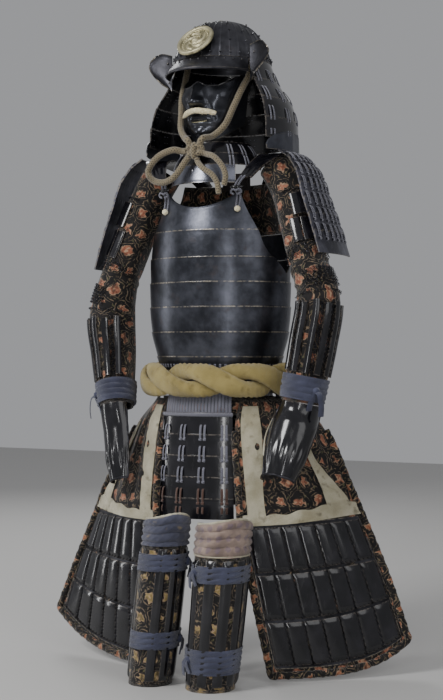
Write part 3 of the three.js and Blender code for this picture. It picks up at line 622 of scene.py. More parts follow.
def piece(name, parts, material, sharp=38):
    """Makes a piece of one part or of a list of them."""
    part = joined(parts) if isinstance(parts, list) else parts
    mesh = bpy.data.meshes.new(name)
    faces = [list(dict.fromkeys(face)) for face in part.faces.tolist()]
    mesh.from_pydata(to_frame(part.points).tolist(), [], faces)
    layer = mesh.attributes.new("cloth", "FLOAT_VECTOR", "CORNER")
    corners = np.concatenate([part.cloth[i, : len(face)] for i, face in enumerate(faces)])
    layer.data.foreach_set("vector", corners.astype(np.float32).ravel())
    mesh.shade_smooth()
    mesh.set_sharp_from_angle(angle=math.radians(sharp))
    mesh.materials.append(MATERIALS[material])
    made = bpy.data.objects.new(name, mesh)
    bpy.context.scene.collection.objects.link(made)
    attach(made, "root")
    return made


def dress(name, parts, material, sharp=38):
    """Makes the piece that stands for the solid of this name."""
    made = piece(f"{name}_look", parts, material, sharp)
    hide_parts(name)
    return made


def ring_surface(table, centre_y=0.0):
    """A round or oval surface, over angles from the front and heights."""
    wide, deep = column(table, "z", "w"), column(table, "z", "d")
    return lambda angle, height: np.stack(
        [wide(height) * sine(angle), centre_y - deep(height) * cosine(angle), height + 0 * angle], -1)


def at_surface(surface, across, down):
    """Points of a surface and their outward normals. Down is a height, or 1 less a share."""
    across, down = np.broadcast_arrays(np.asarray(across, float), np.asarray(down, float))
    step = 0.002
    right = surface(across + step, down) - surface(across - step, down)
    below = surface(across, down - step) - surface(across, down + step)
    return surface(across, down), unit(np.cross(below, right))


# Cords first: their routes repeat the solids'
KNOT_CENTRE = np.array([4, -140, 1236.0])
KNOT_RADII = np.array([21, 13, 18.0])
CHIN_CORD_RADIUS = 8
CHIN_TAIL_RADIUS = 7
CORD_STEP = 1.7


def knot_exit(angle, distance):
    """A point that far outside the knot, at an angle from the wearer's left."""
    direction = np.array([cosine(angle), 0, sine(angle)])
    return (KNOT_CENTRE + KNOT_RADII**2 * direction / np.linalg.norm(KNOT_RADII * direction)
            + direction * distance)


def braided(turn, far):
    """The relief of eight strands that cross on a round cord."""
    return 0.955 + 0.05 * np.maximum(np.sin(4 * turn + far * 0.62), np.sin(4 * turn - far * 0.62))


def strand(name, points, radius):
    """A braided strand along a route: its piece, its line and its length in millimetres."""
    length = float(np.linalg.norm(np.diff(curve(points, 400), axis=0), axis=1).sum())
    line = curve(points, int(length / CORD_STEP))
    return dress(name, tube(line, radius, 24, braided), "cord"), line, length


def chin_cord(name, points, radius):
    """A strand that starts at the knot and hangs below it."""
    made, line, length = strand(name, points, radius)
    to_frame(points[0]).tolist()
    to_frame(line).tolist()


LOOP_ROUTE = [
    knot_exit(178, GAP), knot_exit(178, 14),
    [-50, -150, 1240], [-84, -152, 1229], [-110, -150, 1208], [-119, -147, 1188], [-104, -147, 1170],
    [-74, -150, 1164], [-44, -153, 1176],
    knot_exit(228, 14), knot_exit(228, GAP),
]
TAIL_ROUTES = {
    "upper": [knot_exit(340, GAP), knot_exit(340, 12), [60, -150, 1218], [82, -152, 1196], [92, -152, 1172],
              [88, -152, 1149]],
    "lower": [knot_exit(284, GAP), knot_exit(284, 10), [32, -152, 1192], [56, -153, 1176], [70, -153, 1156],
              [75, -153, 1130]],
}
chin_cord("chin_loop", LOOP_ROUTE, CHIN_CORD_RADIUS)
for tail_name, tail_route in TAIL_ROUTES.items():
    chin_cord(f"chin_tail_{tail_name}", tail_route, CHIN_TAIL_RADIUS)

# Helmet bowl: upright plates with a raised edge each, standing rivets and a ringed top opening
BOWL_TOP = 1566
RIM_HEIGHT = 1462
BOWL_PLATES = 32
bowl_surface = ring_surface(rows_of("z w d", (BOWL_TOP, 12, 13), (1562, 40, 43), (1548, 68, 73),
                                    (1524, 90, 96), (1494, 106, 115), (RIM_HEIGHT, 114, 127)))
PLATE_DEGREES = 360 / BOWL_PLATES


def plate_phase(angle):
    return (angle / PLATE_DEGREES) % 1


def bowl_relief(angle, height, u, v):
    fade = smooth(1563 - height, 0, 14)
    phase = plate_phase(angle)
    edge = bump(np.minimum(phase, 1 - phase), 0.09)
    return 1.9 + fade * (0.8 * (1 - phase) + 0.9 * edge)


def bowl_wear(angle, height, u, v):
    phase = plate_phase(angle)
    return np.maximum(bump(np.minimum(phase, 1 - phase), 0.05) * 0.45, 0.7 * bump(height - RIM_HEIGHT, 3))


bowl_angles = np.arange(BOWL_PLATES * 8) * PLATE_DEGREES / 8
bowl_rows = [BOWL_TOP, 1565.4, 1564, 1562, 1559, 1555, 1550, *np.linspace(1544, RIM_HEIGHT, 20)]
bowl = wall(bowl_surface, bowl_angles, bowl_rows, 0, bowl_relief, True, wear_and_highlight=bowl_wear)
dress("helmet_bowl", bowl.in_head(), "helmet_iron")

# Rows of rivets, each at every plate, every second or every fourth, and none behind the disc
RIVET_ROWS = ((1472, 1), (1504, 2), (1530, 2), (1550, 4))
rivet_places = [(PLATE_DEGREES * (k + 0.02), height) for height, every in RIVET_ROWS
                for k in range(0, BOWL_PLATES, every)]
rivet_places = [(a, h) for a, h in rivet_places if h > 1545 or abs((a + 180) % 360 - 180) > 26 or h < 1474]
rivet_points, rivet_normals = at_surface(bowl_surface, *zip(*rivet_places))
piece("helmet_rivets", dome(rivet_points + rivet_normals * 2.8, rivet_normals, 2.9, 5.2).in_head(), "iron")

# The ringed opening at the top: a scalloped ring above a plain and wider one
turns = np.linspace(0, 360, 49)[:-1]
ring_line = np.stack([15 * sine(turns), -16 * cosine(turns), BOWL_TOP + 1.5 + 0 * turns], 1)
ring_line = np.concatenate([ring_line, ring_line[:2]])
scallops = lambda turn, far: 1 + 0.16 * np.sin(far / 2.6)
top_ring = joined([tube(ring_line, 3.2, 12, scallops),
                   tube(ring_line * [1.5, 1.5, 1] - [0, 0, 3.4], 2.2, 10)])
piece("helmet_top_ring", top_ring.in_head(), "brass")


def edge_tube(surface, across, down, radius, out):
    """A rolled edge along a line of places on a surface."""
    points, normals = at_surface(surface, across, down)
    return tube(points + normals * out, radius, 8)


# Visor with a rolled lip
VISOR_TOP, VISOR_LIP = 1461.7, 1428
visor_surface = ring_surface(rows_of("z w d", (VISOR_TOP, 116, 129), (1447, 120, 146), (1434, 125, 161),
                                     (VISOR_LIP, 127, 163)))
visor_angles = np.linspace(-67.5, 67.5, 91)
visor_wall = wall(visor_surface, visor_angles, np.linspace(VISOR_TOP, VISOR_LIP, 18), -2, 0,
                  wear_and_highlight=lambda a, h, u, v: bump(h - VISOR_LIP - 1, 5) + 0.25 * bump(h - 1461, 3))
visor_rivets = at_surface(visor_surface, np.linspace(-60, 60, 13), 1456)
visor = joined([visor_wall, edge_tube(visor_surface, visor_angles, VISOR_LIP + 1, 2.4, -0.6),
                dome(*visor_rivets, 2.6, 2.6)])
dress("helmet_visor", visor.in_head(), "helmet_iron")

# Brass disc: a raised rim, a ring of beads and scrolling leaves round a boss
DISC_SLOPE, DISC_HEIGHT, DISC_RADIUS = 38, 1503, 49
DISC_RELIEF_RADIUS = 44
DISC_BOSS_HEIGHT = 9.4
DISC_CLEARANCE = 2.3


def disc_relief(turn, radius):
    radius = radius * DISC_RELIEF_RADIUS / DISC_RADIUS
    rim = 5 * smooth(radius, 33.5, 36.5) * (1 - smooth(radius, 41.5, DISC_RELIEF_RADIUS))
    beads = 1.4 * np.maximum(0, np.cos(turn * 30)) ** 0.6 * bump(radius - 31, 1.5)
    boss = 7.2 * smooth(10.5 - radius, 0, 7)
    swirl = np.cos(5 * (turn - radius * 0.075)) * 0.5 + 0.5
    veins = np.cos(25 * (turn - radius * 0.11)) * 0.5 + 0.5
    leaves = 2.1 * smooth(swirl, 0.35, 0.75) + 0.7 * veins * swirl
    leaves = leaves * smooth(radius, 10, 13) * (1 - smooth(radius, 26, 29))
    return 2.2 + np.maximum(rim, 0) + beads + boss + leaves + 1.6 * bump(radius - 12, 1.0)


disc_radii = np.concatenate([np.linspace(0.4, 36.5, 38), np.linspace(37.5, DISC_RADIUS, 14)])
disc_turns = np.linspace(0, math.tau, 180, endpoint=False)
disc_turn, disc_radius = np.meshgrid(disc_turns, disc_radii)
disc_rise = disc_relief(disc_turn, disc_radius)
normal = np.array([0, -cosine(DISC_SLOPE), sine(DISC_SLOPE)])
up_axis = np.cross(normal, [1.0, 0, 0])


def disc_outward(turn):
    return np.cos(turn)[..., None] * np.array([1.0, 0, 0]) + np.sin(turn)[..., None] * up_axis


seat_points, _ = at_surface(bowl_surface, np.arange(0, 360, 7.5)[:, None],
                            np.linspace(RIM_HEIGHT, BOWL_TOP, 60)[None])
seat = float((seat_points @ normal).max() + DISC_CLEARANCE)
disc_centre = np.array([0, (DISC_HEIGHT * normal[2] - seat) / cosine(DISC_SLOPE), DISC_HEIGHT])
top = disc_centre + disc_radius[..., None] * disc_outward(disc_turn) + disc_rise[..., None] * normal
under = disc_centre + DISC_RADIUS * disc_outward(disc_turns)
disc_grid = np.concatenate([top, under[None]])
quads, corners = cells(len(disc_grid), len(disc_turns), True)
high = np.concatenate([smooth(disc_rise, 2.6, 4.4), np.zeros((1, len(disc_turns)))])
high = np.concatenate([high, high[:, :1]], 1).ravel()
disc_cloth = np.stack([high * 0, high * 0, high], -1)[corners]
centre_ids = np.arange(len(disc_turns))
boss_ids = np.full(len(disc_turns), disc_grid.size // 3)
caps = np.stack([centre_ids, (centre_ids + 1) % len(disc_turns), boss_ids, boss_ids], -1)
disc_points = np.concatenate([disc_grid.reshape(-1, 3), [disc_centre + normal * DISC_BOSS_HEIGHT]])
disc_part = Part(disc_points, np.concatenate([quads, caps]),
                 np.concatenate([disc_cloth, np.full((len(caps), 4, 3), [0, 0, 1.0])]))
dress("helmet_disc", disc_part.in_head(), "brass", sharp=60)


# Neck guard: four laced lames
NECK_GUARD_EDGES = [VISOR_TOP, 1412, 1364, 1315, 1266]
neck_surface = ring_surface(rows_of("z w d", (VISOR_TOP, 114, 127), (1412, 134, 138), (1364, 166, 165),
                                    (1315, 181, 180), (1266, 184, 184)))


def ribbon(surface, across, top, bottom, width, lift, sag=0.0, half_thickness=0.9):
    """A flat lace lying on a surface, from a top to a bottom place, tucked in at both ends."""
    steps = np.linspace(0, 1, 9)
    points, normals = at_surface(surface, np.full(9, float(across)), top + (bottom - top) * steps)
    arch = np.minimum(1, np.minimum(steps, 1 - steps) * 7)
    line = points + normals * (lift * arch + sag * np.sin(np.pi * steps))[:, None]
    return tube(line, (width / 2, half_thickness), 6, flat=normals)


def lace_pairs(surface, middles, top, bottom, width, spread, lift, sag=0.0):
    """Pairs of laces side by side, at each of the middles."""
    return [ribbon(surface, middle + side * spread, top, bottom, width, lift, sag)
            for middle in middles for side in (-0.5, 0.5)]


def lame_relief(step=1.8):
    """A lame whose top edge stands proud and whose face falls back to its lower edge."""
    return lambda a, h, u, v: 2.0 + step * (1 - smooth(v, 0, v.max() + 1)) + 0.5 * bump(v - 1.5, 1.6)


neck_angles = np.linspace(67.5, 292.5, 136)
for number, bottom_edge in enumerate(NECK_GUARD_EDGES[1:]):
    top_edge = NECK_GUARD_EDGES[number] - (GAP if number else 0)
    rows = np.linspace(top_edge, bottom_edge, 9)
    relief = lame_relief() if number else 2.0
    dress(f"neck_guard_{number + 1}", wall(neck_surface, neck_angles, rows, 0, relief).in_head(), "lacquer")
neck_middles = np.linspace(74, 286, 12)
neck_laces = []
for edge in NECK_GUARD_EDGES[1:4]:
    neck_laces += lace_pairs(neck_surface, neck_middles, edge + 30, edge - 12, 5.0, 3.4, 4.2, 1.0)
neck_laces += lace_pairs(neck_surface, neck_middles, 1288, 1272, 5.0, 3.4, 3.4)
piece("neck_guard_laces", joined(neck_laces).in_head(), "lacing")


# Turnbacks: ear-like plates beside the visor
def turnback_surface(across, up):
    width = 61 * np.sin(np.pi * clamp(0.9 - 0.6 * up))
    height = 1404 + 88 * up + 16 * across - 24 * across**4 * up**2
    return np.stack([116 + across * width, -54.5 - 14 * across**2, height], -1)


def turnback_edge(a, d, width):
    """1 along the free edges of a turned-back plate, less within a width of them."""
    return bump(np.minimum(np.minimum(d, 1 - d) * 88, (1 - a) * 55), width)


turnback = wall(turnback_surface, np.linspace(0, 1, 30), np.linspace(1, 0, 34), -2,
                lambda a, d, u, v: 1.3 * turnback_edge(a, d, 3.0),
                wear_and_highlight=lambda a, d, u, v: turnback_edge(a, d, 3.2))
studs = at_surface(turnback_surface, [0.2, 0.2], [0.75, 0.2])
turnback = joined([turnback, dome(*studs, 3.2, 2.6)])
for side, turned in TURNED.items():
    dress(f"turnback_{side}", turned(turnback).in_head(), "helmet_iron")

# Half mask: nose, cheeks, open mouth and chin on general proportions
MASK_CENTRE_Y = -5
mask_shape = ring_surface(rows_of("z w d", (1430, 84, 96), (1385, 86, 104), (1340, 81, 105), (1300, 72, 99),
                                  (1262, 52, 84)), MASK_CENTRE_Y)


def mask_relief(angle, height):
    nose = 25 * bump(angle, 8.5) * clamp((1408 - height) / 48) * smooth(height, 1343, 1354)
    nostrils = 9 * bump(np.abs(angle) - 9, 5) * bump(height - 1356, 9)
    cheeks = 7 * bump(np.abs(angle) - 40, 16) * bump(height - 1372, 20)
    folds = -1.8 * bump(np.abs(angle) - 22 - (1350 - height) * 0.28, 2.6)
    folds = folds * smooth(1362 - height, 0, 14) * smooth(height - 1306, 0, 14)
    mouth = -11 * bump(angle, 23) * bump(height - 1321, 9)
    lips = 2.6 * bump(angle, 25) * (bump(height - 1308, 3.4) + 0.7 * bump(height - 1333, 3.2))
    chin = 8 * bump(angle, 16) * bump(height - 1284, 13)
    chin_fold = -1.6 * bump(angle, 24) * bump(height - 1299, 2.6)
    return nose + nostrils + cheeks + folds + mouth + lips + chin + chin_fold


def mask_surface(angle, height):
    outward = np.stack([sine(angle), -cosine(angle), 0 * angle], -1)
    return mask_shape(angle, height) + outward * mask_relief(angle, height)[..., None]


def mask_top(angle):
    return 1396 + 12 * bump(angle, 10) + 30 * clamp((np.abs(angle) - 34) / 40)


def mask_bottom(angle):
    return 1262 + 44 * clamp((np.abs(angle) - 20) / 62) ** 1.4


def rows_between(top, bottom, count):
    """Rows of a wall whose top or bottom edge isn't level."""
    return top + (bottom - top) * np.linspace(0, 1, count)[:, None]


MASK_SIDE, MASK_FRONT = 84, 40
mask_angles = np.concatenate([np.linspace(-MASK_SIDE, -MASK_FRONT, 26)[:-1],
                              np.linspace(-MASK_FRONT, MASK_FRONT, 75),
                              np.linspace(MASK_FRONT, MASK_SIDE, 26)[1:]])
mask_rows = rows_between(mask_top(mask_angles), mask_bottom(mask_angles), 96)
dress("face_mask", wall(mask_surface, mask_angles, mask_rows, -2, 0).in_head(), "mask_lacquer", sharp=60)
piece("mask_rim", edge_tube(mask_surface, mask_angles, mask_top(mask_angles), 2.0, -0.6).in_head(), "lacquer")

teeth = []
for row_height, size in ((1325.5, 4.6), (1316.5, 4.0)):
    for angle in np.linspace(-15, 15, 11):
        place, out = at_surface(mask_surface, angle, row_height)
        teeth.append(dome([place + out * 0.2], [out * [1, 1, 0.1]], size * 0.46, 3.2, 8))
piece("mask_teeth", joined(teeth).in_head(), "mail")
lip_angles = np.linspace(-17, 17, 30)
lip_heights = 1309.5 + 2.5 * (lip_angles / 17) ** 2
piece("mask_lip_line", edge_tube(mask_surface, lip_angles, lip_heights, 1.0, 0.5).in_head(), "brass")


# Moustache: a pad with tapering strands that sweep outward
def moustache_line(angle, lift):
    height = 1336 - 7 * (np.abs(angle) / 34) ** 1.5
    point, _ = at_surface(mask_surface, angle, height)
    clear = 6.6 + 3 * bump(angle, 12) + lift
    return point + np.stack([clear * sine(angle), -clear * cosine(angle), 0 * angle], -1)


pad_angles = np.linspace(-33, 33, 50)
pad_radius = 6.8 * (1 - 0.42 * (np.abs(pad_angles) / 33) ** 2.6)
moustache = [tube(moustache_line(pad_angles, -1.0), pad_radius, 12)]
for k in range(240):
    side = 1 if k % 2 else -1
    start = rng.uniform(0.5, 24)
    reach = rng.uniform(6, 11)
    angles = side * (start + np.linspace(0, reach, 6))
    height = rng.uniform(-6.0, 6.0)
    line = moustache_line(angles, math.sqrt(45 - height**2) - 0.6 + rng.uniform(-0.8, 0.4))
    line[:, 2] += height - np.linspace(0, 1, 6) ** 1.6 * rng.uniform(0.5, 4.5)
    moustache.append(tube(line, 0.75 * np.linspace(1, 0.25, 6), 4))
dress("moustache", joined(moustache).in_head(), "hair")

# Throat guard: two laced lames and a polished plate with a stud
throat_surface = ring_surface(rows_of("z w d", (1261.5, 74, 84), (1233, 96, 101), (1205, 110, 116),
                                      (1160, 118, 130)), MASK_CENTRE_Y)
throat_angles = np.linspace(-97.5, 97.5, 100)
throat_lames = [wall(throat_surface, throat_angles, np.linspace(top, bottom, 8), 0, lame_relief())
                for top, bottom in ((1261.5, 1233.2), (1233, 1205.3))]
dress("throat_guard_lames", joined(throat_lames).in_head(), "lacquer")
throat_middles = [-88, -68, -48, 48, 68, 88]
throat_laces = lace_pairs(throat_surface, throat_middles, 1258, 1226, 4.6, 5.2, 4.6, 0.6)
throat_laces += lace_pairs(throat_surface, throat_middles, 1230, 1196, 4.6, 4.4, 4.6, 0.6)
piece("throat_laces", joined(throat_laces).in_head(), "lacing")
plate_angles = np.linspace(-52.5, 52.5, 60)
throat_plate = wall(throat_surface, plate_angles, np.linspace(1205, 1160, 16), 0,
                    lambda a, h, u, v: 2 + 1.2 * bump(h - 1161.5, 2.2))
stud_place = at_surface(throat_surface, [0.0], [1190.0])
dress("throat_guard_plate", joined([throat_plate, dome(*stud_place, 4, 5)]).in_head(), "bright_iron")


# Chin cord strands and the knot
def beside_mask(angle, height, distance):
    point = mask_shape(np.array(float(angle)), np.array(float(height)))
    return head_to_suit(point + [distance * sine(angle), -distance * cosine(angle), 0])


# Where each strand passes beside the mask: the angle, the height and the distance from it
CHEEK_ROUTE = ((78, 1425, 13), (66, 1385, 9.4), (56, 1340, 10.5), (46, 1300, 18), (30, 1274, 22))
for name, side, exit_angle in (("left", 1, 58), ("right", -1, 122)):
    strand(f"chin_cord_{name}", [
        head_to_suit([side * 94.7, -4, 1497]), head_to_suit([side * 97, -14, 1462]),
        *[beside_mask(side * angle, height, distance) for angle, height, distance in CHEEK_ROUTE],
        knot_exit(exit_angle, 16), knot_exit(exit_angle, GAP)], CHIN_CORD_RADIUS)
knot_turns = np.linspace(0, math.tau, 60)
# Each band's shift, its width, its depth with how many waves, its height and its radius
KNOT_BANDS = [([-1, 0, 0], 0, 6, 1, 14, 7.5), ([-11, 1, 3], 8, 2, 2, 9, 7), ([10, 1, 3], 8, 2, 2, 9, 7),
              ([0, 3, -2], 15, 2, 2, 6, 6.5)]
knot_parts = []
for shift, wide, deep, waves, tall, radius in KNOT_BANDS:
    band = [wide * np.cos(knot_turns), deep * np.cos(knot_turns * waves), tall * np.sin(knot_turns)]
    knot_parts.append(tube(KNOT_CENTRE + shift + np.stack(band, 1), radius, 20, braided))
dress("chin_knot", joined(knot_parts), "cord")


# Cuirass: lames that step outward at each top edge, painted pale there as a highlight where the edge catches
# the light
cuirass_ring = ring_surface(rows_of("z w d", (1176, 138, 104), (1102, 152, 120), (1050, 168, 130),
                                    (985, 176, 135), (926, 178, 136), (867, 178, 136), (807, 174, 132),
                                    (748, 160, 124), (714, 150, 118)))
SIDE_SEAM = 89.9
armhole = column(rows_of("z reach", (1176, 40), (1130, 43), (1050, 55), (1000, 63), (960, 82),
                         (945, SIDE_SEAM), (714, SIDE_SEAM)), "z", "reach")


def between_armholes(middle):
    """The cuirass around a middle angle, with shares from -1 to 1 that reach from armhole to armhole."""
    return lambda share, height: cuirass_ring(middle + share * np.minimum(armhole(height), SIDE_SEAM), height)


front_surface, back_surface = between_armholes(0), between_armholes(180)


def painted_top_highlight(a, h, u, v):
    """Pale colour of a lame along its top edge, a painted highlight where the edge catches the light, and
    half as pale along its lower edge.
    """
    return np.maximum(bump(v - 1.2, 2.6), 0.5 * bump(v.max() - v, 2))


FRONT_LAMES = [1049.7, 985, 926, 867, 807, 748, 714]
BACK_LAMES = [1176, 1112, 1050, 985, 926, 867, 807, 748, 714]
SHARES = np.linspace(-1, 1, 97)


def neckline(share):
    return 1102 + 41 * np.abs(share) ** 1.8


def lame_stack(surface, edges, across, count=6, step=1.8):
    """Lames below each other between the edges, each with count rows below its top edge."""
    walls = []
    for top, bottom in zip(edges[:-1], edges[1:]):
        rows = [top, top - 0.8, top - 2.5, top - 5, *np.linspace(top - 9, bottom + 0.4, count)]
        # Each lame's top edge is painted pale: a painted highlight where the edge catches the light.
        walls.append(wall(surface, across, rows, 0, lame_relief(step), wear_and_highlight=painted_top_highlight))
    return walls


top_rows = rows_between(neckline(SHARES), 1050, 18)
top_plate = wall(front_surface, SHARES, top_rows, 0, lambda a, h, u, v: 2 + 0.8 * bump(v - 6, 1.6),
                 wear_and_highlight=lambda a, h, u, v: 0.8 * bump(v, 3))
dress("cuirass_top_plate", [top_plate, edge_tube(front_surface, SHARES, neckline(SHARES), 2.6, 0.6)], "iron")
dress("cuirass_front", lame_stack(front_surface, FRONT_LAMES, SHARES), "iron")
dress("cuirass_back", lame_stack(back_surface, BACK_LAMES, np.linspace(-1, 1, 81)), "iron")
yoke = wall(back_surface, np.linspace(-1.6, 1.6, 97), np.linspace(1175, 1051, 30), -3,
            lambda a, h, u, v: -1 - 0.5 * np.sin(u * 0.06) ** 2)
yoke = dress("sleeve_yoke", yoke, "brocade")
collar = wall(back_surface, np.linspace(-0.42, 0.42, 41), np.linspace(1208, 1166, 16), -8,
              lambda a, h, u, v: -4.4 + 1.6 * bump(v - 3, 4) - 30 * smooth(np.abs(a), 0.4, 0.46))
piece("collar", collar, "lining")
stitch_laces = [ribbon(cuirass_ring, angle + lean, 731, 719, 2.6, 2.4, 0.6, 0.6)
                for angle in np.arange(-84, 264, 4.8) for lean in (0.0, 1.1)]
piece("waist_stitches", stitch_laces, "lacing")

# Shoulder straps, toggled cords and standing plates
strap_table = rows_of("place x y z w", (0, 92, 96, 1178.6, 22), (0.22, 118, 80, 1210, 28),
                      (0.42, 154, 40, 1233, 34), (0.55, 158, 0, 1237, 38), (0.68, 155, -40, 1230, 33),
                      (0.86, 132, -78, 1199, 22), (1, 114, -95, 1172, 17))
strap = {name: column(strap_table, "place", name) for name in "xyzw"}


def strap_surface(across, up):
    place = 1 - up
    return np.stack([strap["x"](place) + across * strap["w"](place), strap["y"](place) + 0 * across,
                     strap["z"](place) + 0 * across], -1)


strap_part = wall(strap_surface, np.linspace(-1, 1, 21), np.linspace(1, 0, 60), -4,
                  lambda a, p, u, v: 0.8 * bump(1 - np.abs(a), 0.12) + 0.4 * np.cos(a * 9))
for side, turned in TURNED.items():
    dress(f"shoulder_strap_{side}", turned(strap_part), "lacquer")


def on_plate(angle, height, distance):
    point, normal = at_surface(cuirass_ring, angle, height)
    return point + normal * distance


def twisted(turn, far):
    """The relief of a three-stranded twisted cord."""
    return 1 + 0.12 * np.sin(3 * turn + far * 1.5)


TOGGLE_SHIFT = 4.2
toggle_route = np.array([[112, -96, 1176], [103, -102, 1164], [98, -105, 1150], on_plate(40, 1128, 6.5),
                         on_plate(38, 1098, 6)])
TOGGLE_LOOPS = [[[98, -109, 1140], [90, -112, 1143], [86, -111, 1136], [94, -113, 1131]],
                [[98, -109, 1140], [107, -109, 1144], [111, -106, 1137], [102, -111, 1131]]]
toggle_cords = [tube(curve(toggle_route + [shift, 0, 0], 40), 2.5, 10, twisted)
                for shift in (-TOGGLE_SHIFT, TOGGLE_SHIFT)]
toggle_cords += [tube(curve(loop, 20), 2.4, 10, twisted) for loop in TOGGLE_LOOPS]
toggle_bar = tube([[84, -108, 1150], [88, -109, 1149.5], [98, -109, 1149], [108, -104, 1149],
                   [112, -101, 1149.5]], [2.2, 3.8, 3.2, 3.8, 2.2], 12)
toggle_tip = tube(curve([on_plate(38, 1103, 7), on_plate(38, 1096, 7), on_plate(38, 1089, 6)], 9),
                  [2.5, 5.5, 7.2, 7.6, 7.6, 7.4, 6.8, 5, 1.5], 12)
for side, turned in TURNED.items():
    dress(f"toggle_cord_{side}", turned(joined(toggle_cords)), "lacing")
    piece(f"toggle_bar_{side}", turned(toggle_bar), "lacquer")
    piece(f"toggle_tip_{side}", turned(toggle_tip), "hair")

STANDING_RADIUS = 188.4


def standing_surface(shift):
    def surface(angle, height):
        radius = STANDING_RADIUS * cosine(7.5) / cosine((angle % 15) - 7.5)
        return np.stack([shift + radius * sine(angle), -radius * cosine(angle), height + 0 * angle], -1)
    return surface


def standing_plate(shift):
    angles = np.linspace(60, 120, 41)
    top = 1242 + 42 * np.sqrt(1.02 - ((angles - 90) / 30) ** 2)
    surface = standing_surface(shift)
    return joined([wall(surface, angles, rows_between(top, 1237.5, 8), -2, 0),
                   edge_tube(surface, angles, top - 0.5, 1.8, -1)])


for side, shift in (("left", HEAD_SHIFT), ("right", -HEAD_SHIFT)):
    dress(f"standing_plate_{side}", TURNED[side](standing_plate(shift)), "iron")

# Shoulder guards: seven lames with toothed top edges and paired laces
guard_table = rows_of("place x z half", (0, 198.1, 1237, 62), (0.14, 226, 1219, 68), (0.3, 252, 1183, 78),
                      (0.52, 270, 1128, 86), (0.76, 293, 1065, 91), (1, 318, 988, 94))
guard = {name: column(guard_table, "place", name) for name in ("x", "z", "half")}
GUARD_LAMES = 7


def guard_surface(drop):
    def surface(across, up):
        place = 1 - up
        return np.stack([guard["x"](place) - 12 * across**2, across * guard["half"](place),
                         guard["z"](place) - drop * place], -1)
    return surface


def toothed(count):
    """Heights of a toothed top edge over columns from -1 to 1, and columns that follow the teeth."""
    edges, heights = [], []
    for k in range(count):
        for part, height in ((0.02, 0.0), (0.12, 0.75), (0.45, 1.0), (0.55, 0.35), (0.9, 0.3), (0.98, 0.0)):
            edges.append(-1 + 2 * (k + part) / count)
            heights.append(height)
    edges[0], edges[-1] = -1, 1
    return np.array(edges), np.array(heights)


def shoulder_guard(drop):
    surface = guard_surface(drop)
    columns, teeth_heights = toothed(12)
    walls, laces, crosses = [], [], []
    for number in range(GUARD_LAMES):
        top, bottom = number / GUARD_LAMES, (number + 1) / GUARD_LAMES
        rise = (0.014 + 0.013 * teeth_heights) if number else 0 * teeth_heights
        rows = (top - rise) + (bottom - top + rise - 0.0008) * np.linspace(0, 1, 9)[:, None]
        inner = (lambda a, p, u, v: -2 + 2.3 * (1 - smooth(v, 2, 9))) if number else -2
        base = 1.3 if number else 0.0
        walls.append(wall(surface, columns, 1 - rows, inner,
                          lambda a, p, u, v: base + 2.2 * (1 - smooth(v, 0, 34)),
                          wear_and_highlight=lambda a, p, u, v: np.maximum(bump(v, 3.2), 0.4 * bump(v.max() - v, 2))))
        if number:
            for middle in np.linspace(-0.82, 0.82, 6):
                for side in (-0.035, 0.035):
                    laces.append(ribbon(surface, middle + side, 1.085 - top, 0.965 - top, 5.0, 3.9, 1.4))
                crosses.append(ribbon(surface, middle, 0.972 - top, 0.95 - top, 9, 4.0, 0.8))
    return joined(walls), joined(laces + crosses)


for side, drop in (("left", 0), ("right", 24)):
    lames, laces = map(TURNED[side], shoulder_guard(drop))
    dress(f"shoulder_guard_{side}", lames, "guard_lacquer", sharp=30)
    piece(f"shoulder_laces_{side}", laces, "lacing")

# Sleeves: brocade tubes with soft folds, plates on the upper arm, mail at the elbow and splints below it
sleeve_tables = {
    "left": rows_of("place x y z w d", (0, 158, 0, 1205.8, 46, 52), (0.06, 182, -3, 1168, 46, 52),
                    (0.13, 202, -8, 1126, 46, 52), (0.3, 232, -30, 1040, 46, 50),
                    (0.46, 268, -60, 955, 46, 50), (0.6, 296, -74, 880, 50, 52),
                    (0.78, 285, -84, 780, 51, 52), (1, 262, -97, 640, 47, 46)),
    "right": rows_of("place x y z w d", (0, 158, 0, 1205.8, 46, 52), (0.06, 182, -3, 1168, 46, 52),
                     (0.13, 200, -10, 1126, 46, 52), (0.3, 232, -30, 1030, 46, 52),
                     (0.46, 262, -42, 940, 48, 54), (0.6, 281, -46, 850, 58, 58),
                     (0.78, 266, -62, 750, 52, 52), (1, 235, -102, 622, 41, 41)),
}


def sleeve_centre(table, place):
    return np.stack([column(table, "place", name)(place) for name in "xyz"], -1)


def around_arm(along, angle, wide, deep):
    """How far points of an arm's outline are from its centre line, for the line's direction."""
    right = unit(np.cross([0, -1.0, 0], along))
    front = np.cross(along, right)
    return right * (wide * sine(angle))[..., None] + front * (deep * cosine(angle))[..., None]


def sleeve_surface(table):
    def surface(angle, down):
        place = 1 - down
        centre = sleeve_centre(table, place)
        along = unit(sleeve_centre(table, clamp(place + 0.01)) - sleeve_centre(table, clamp(place - 0.01)))
        wide, deep = column(table, "place", "w")(place), column(table, "place", "d")(place)
        return centre + around_arm(along, angle, wide, deep)
    return surface


# The middle, width, depth and slant of each crease round a sleeve
CREASES = ((0.42, 0.012, 2.6, 0.010), (0.455, 0.010, 3.2, -0.014), (0.49, 0.013, 3.6, 0.016),
           (0.53, 0.011, 3.0, -0.008), (0.57, 0.012, 2.4, 0.012), (0.33, 0.014, 2.0, 0.02),
           (0.25, 0.015, 2.2, -0.02), (0.17, 0.013, 1.8, 0.015))


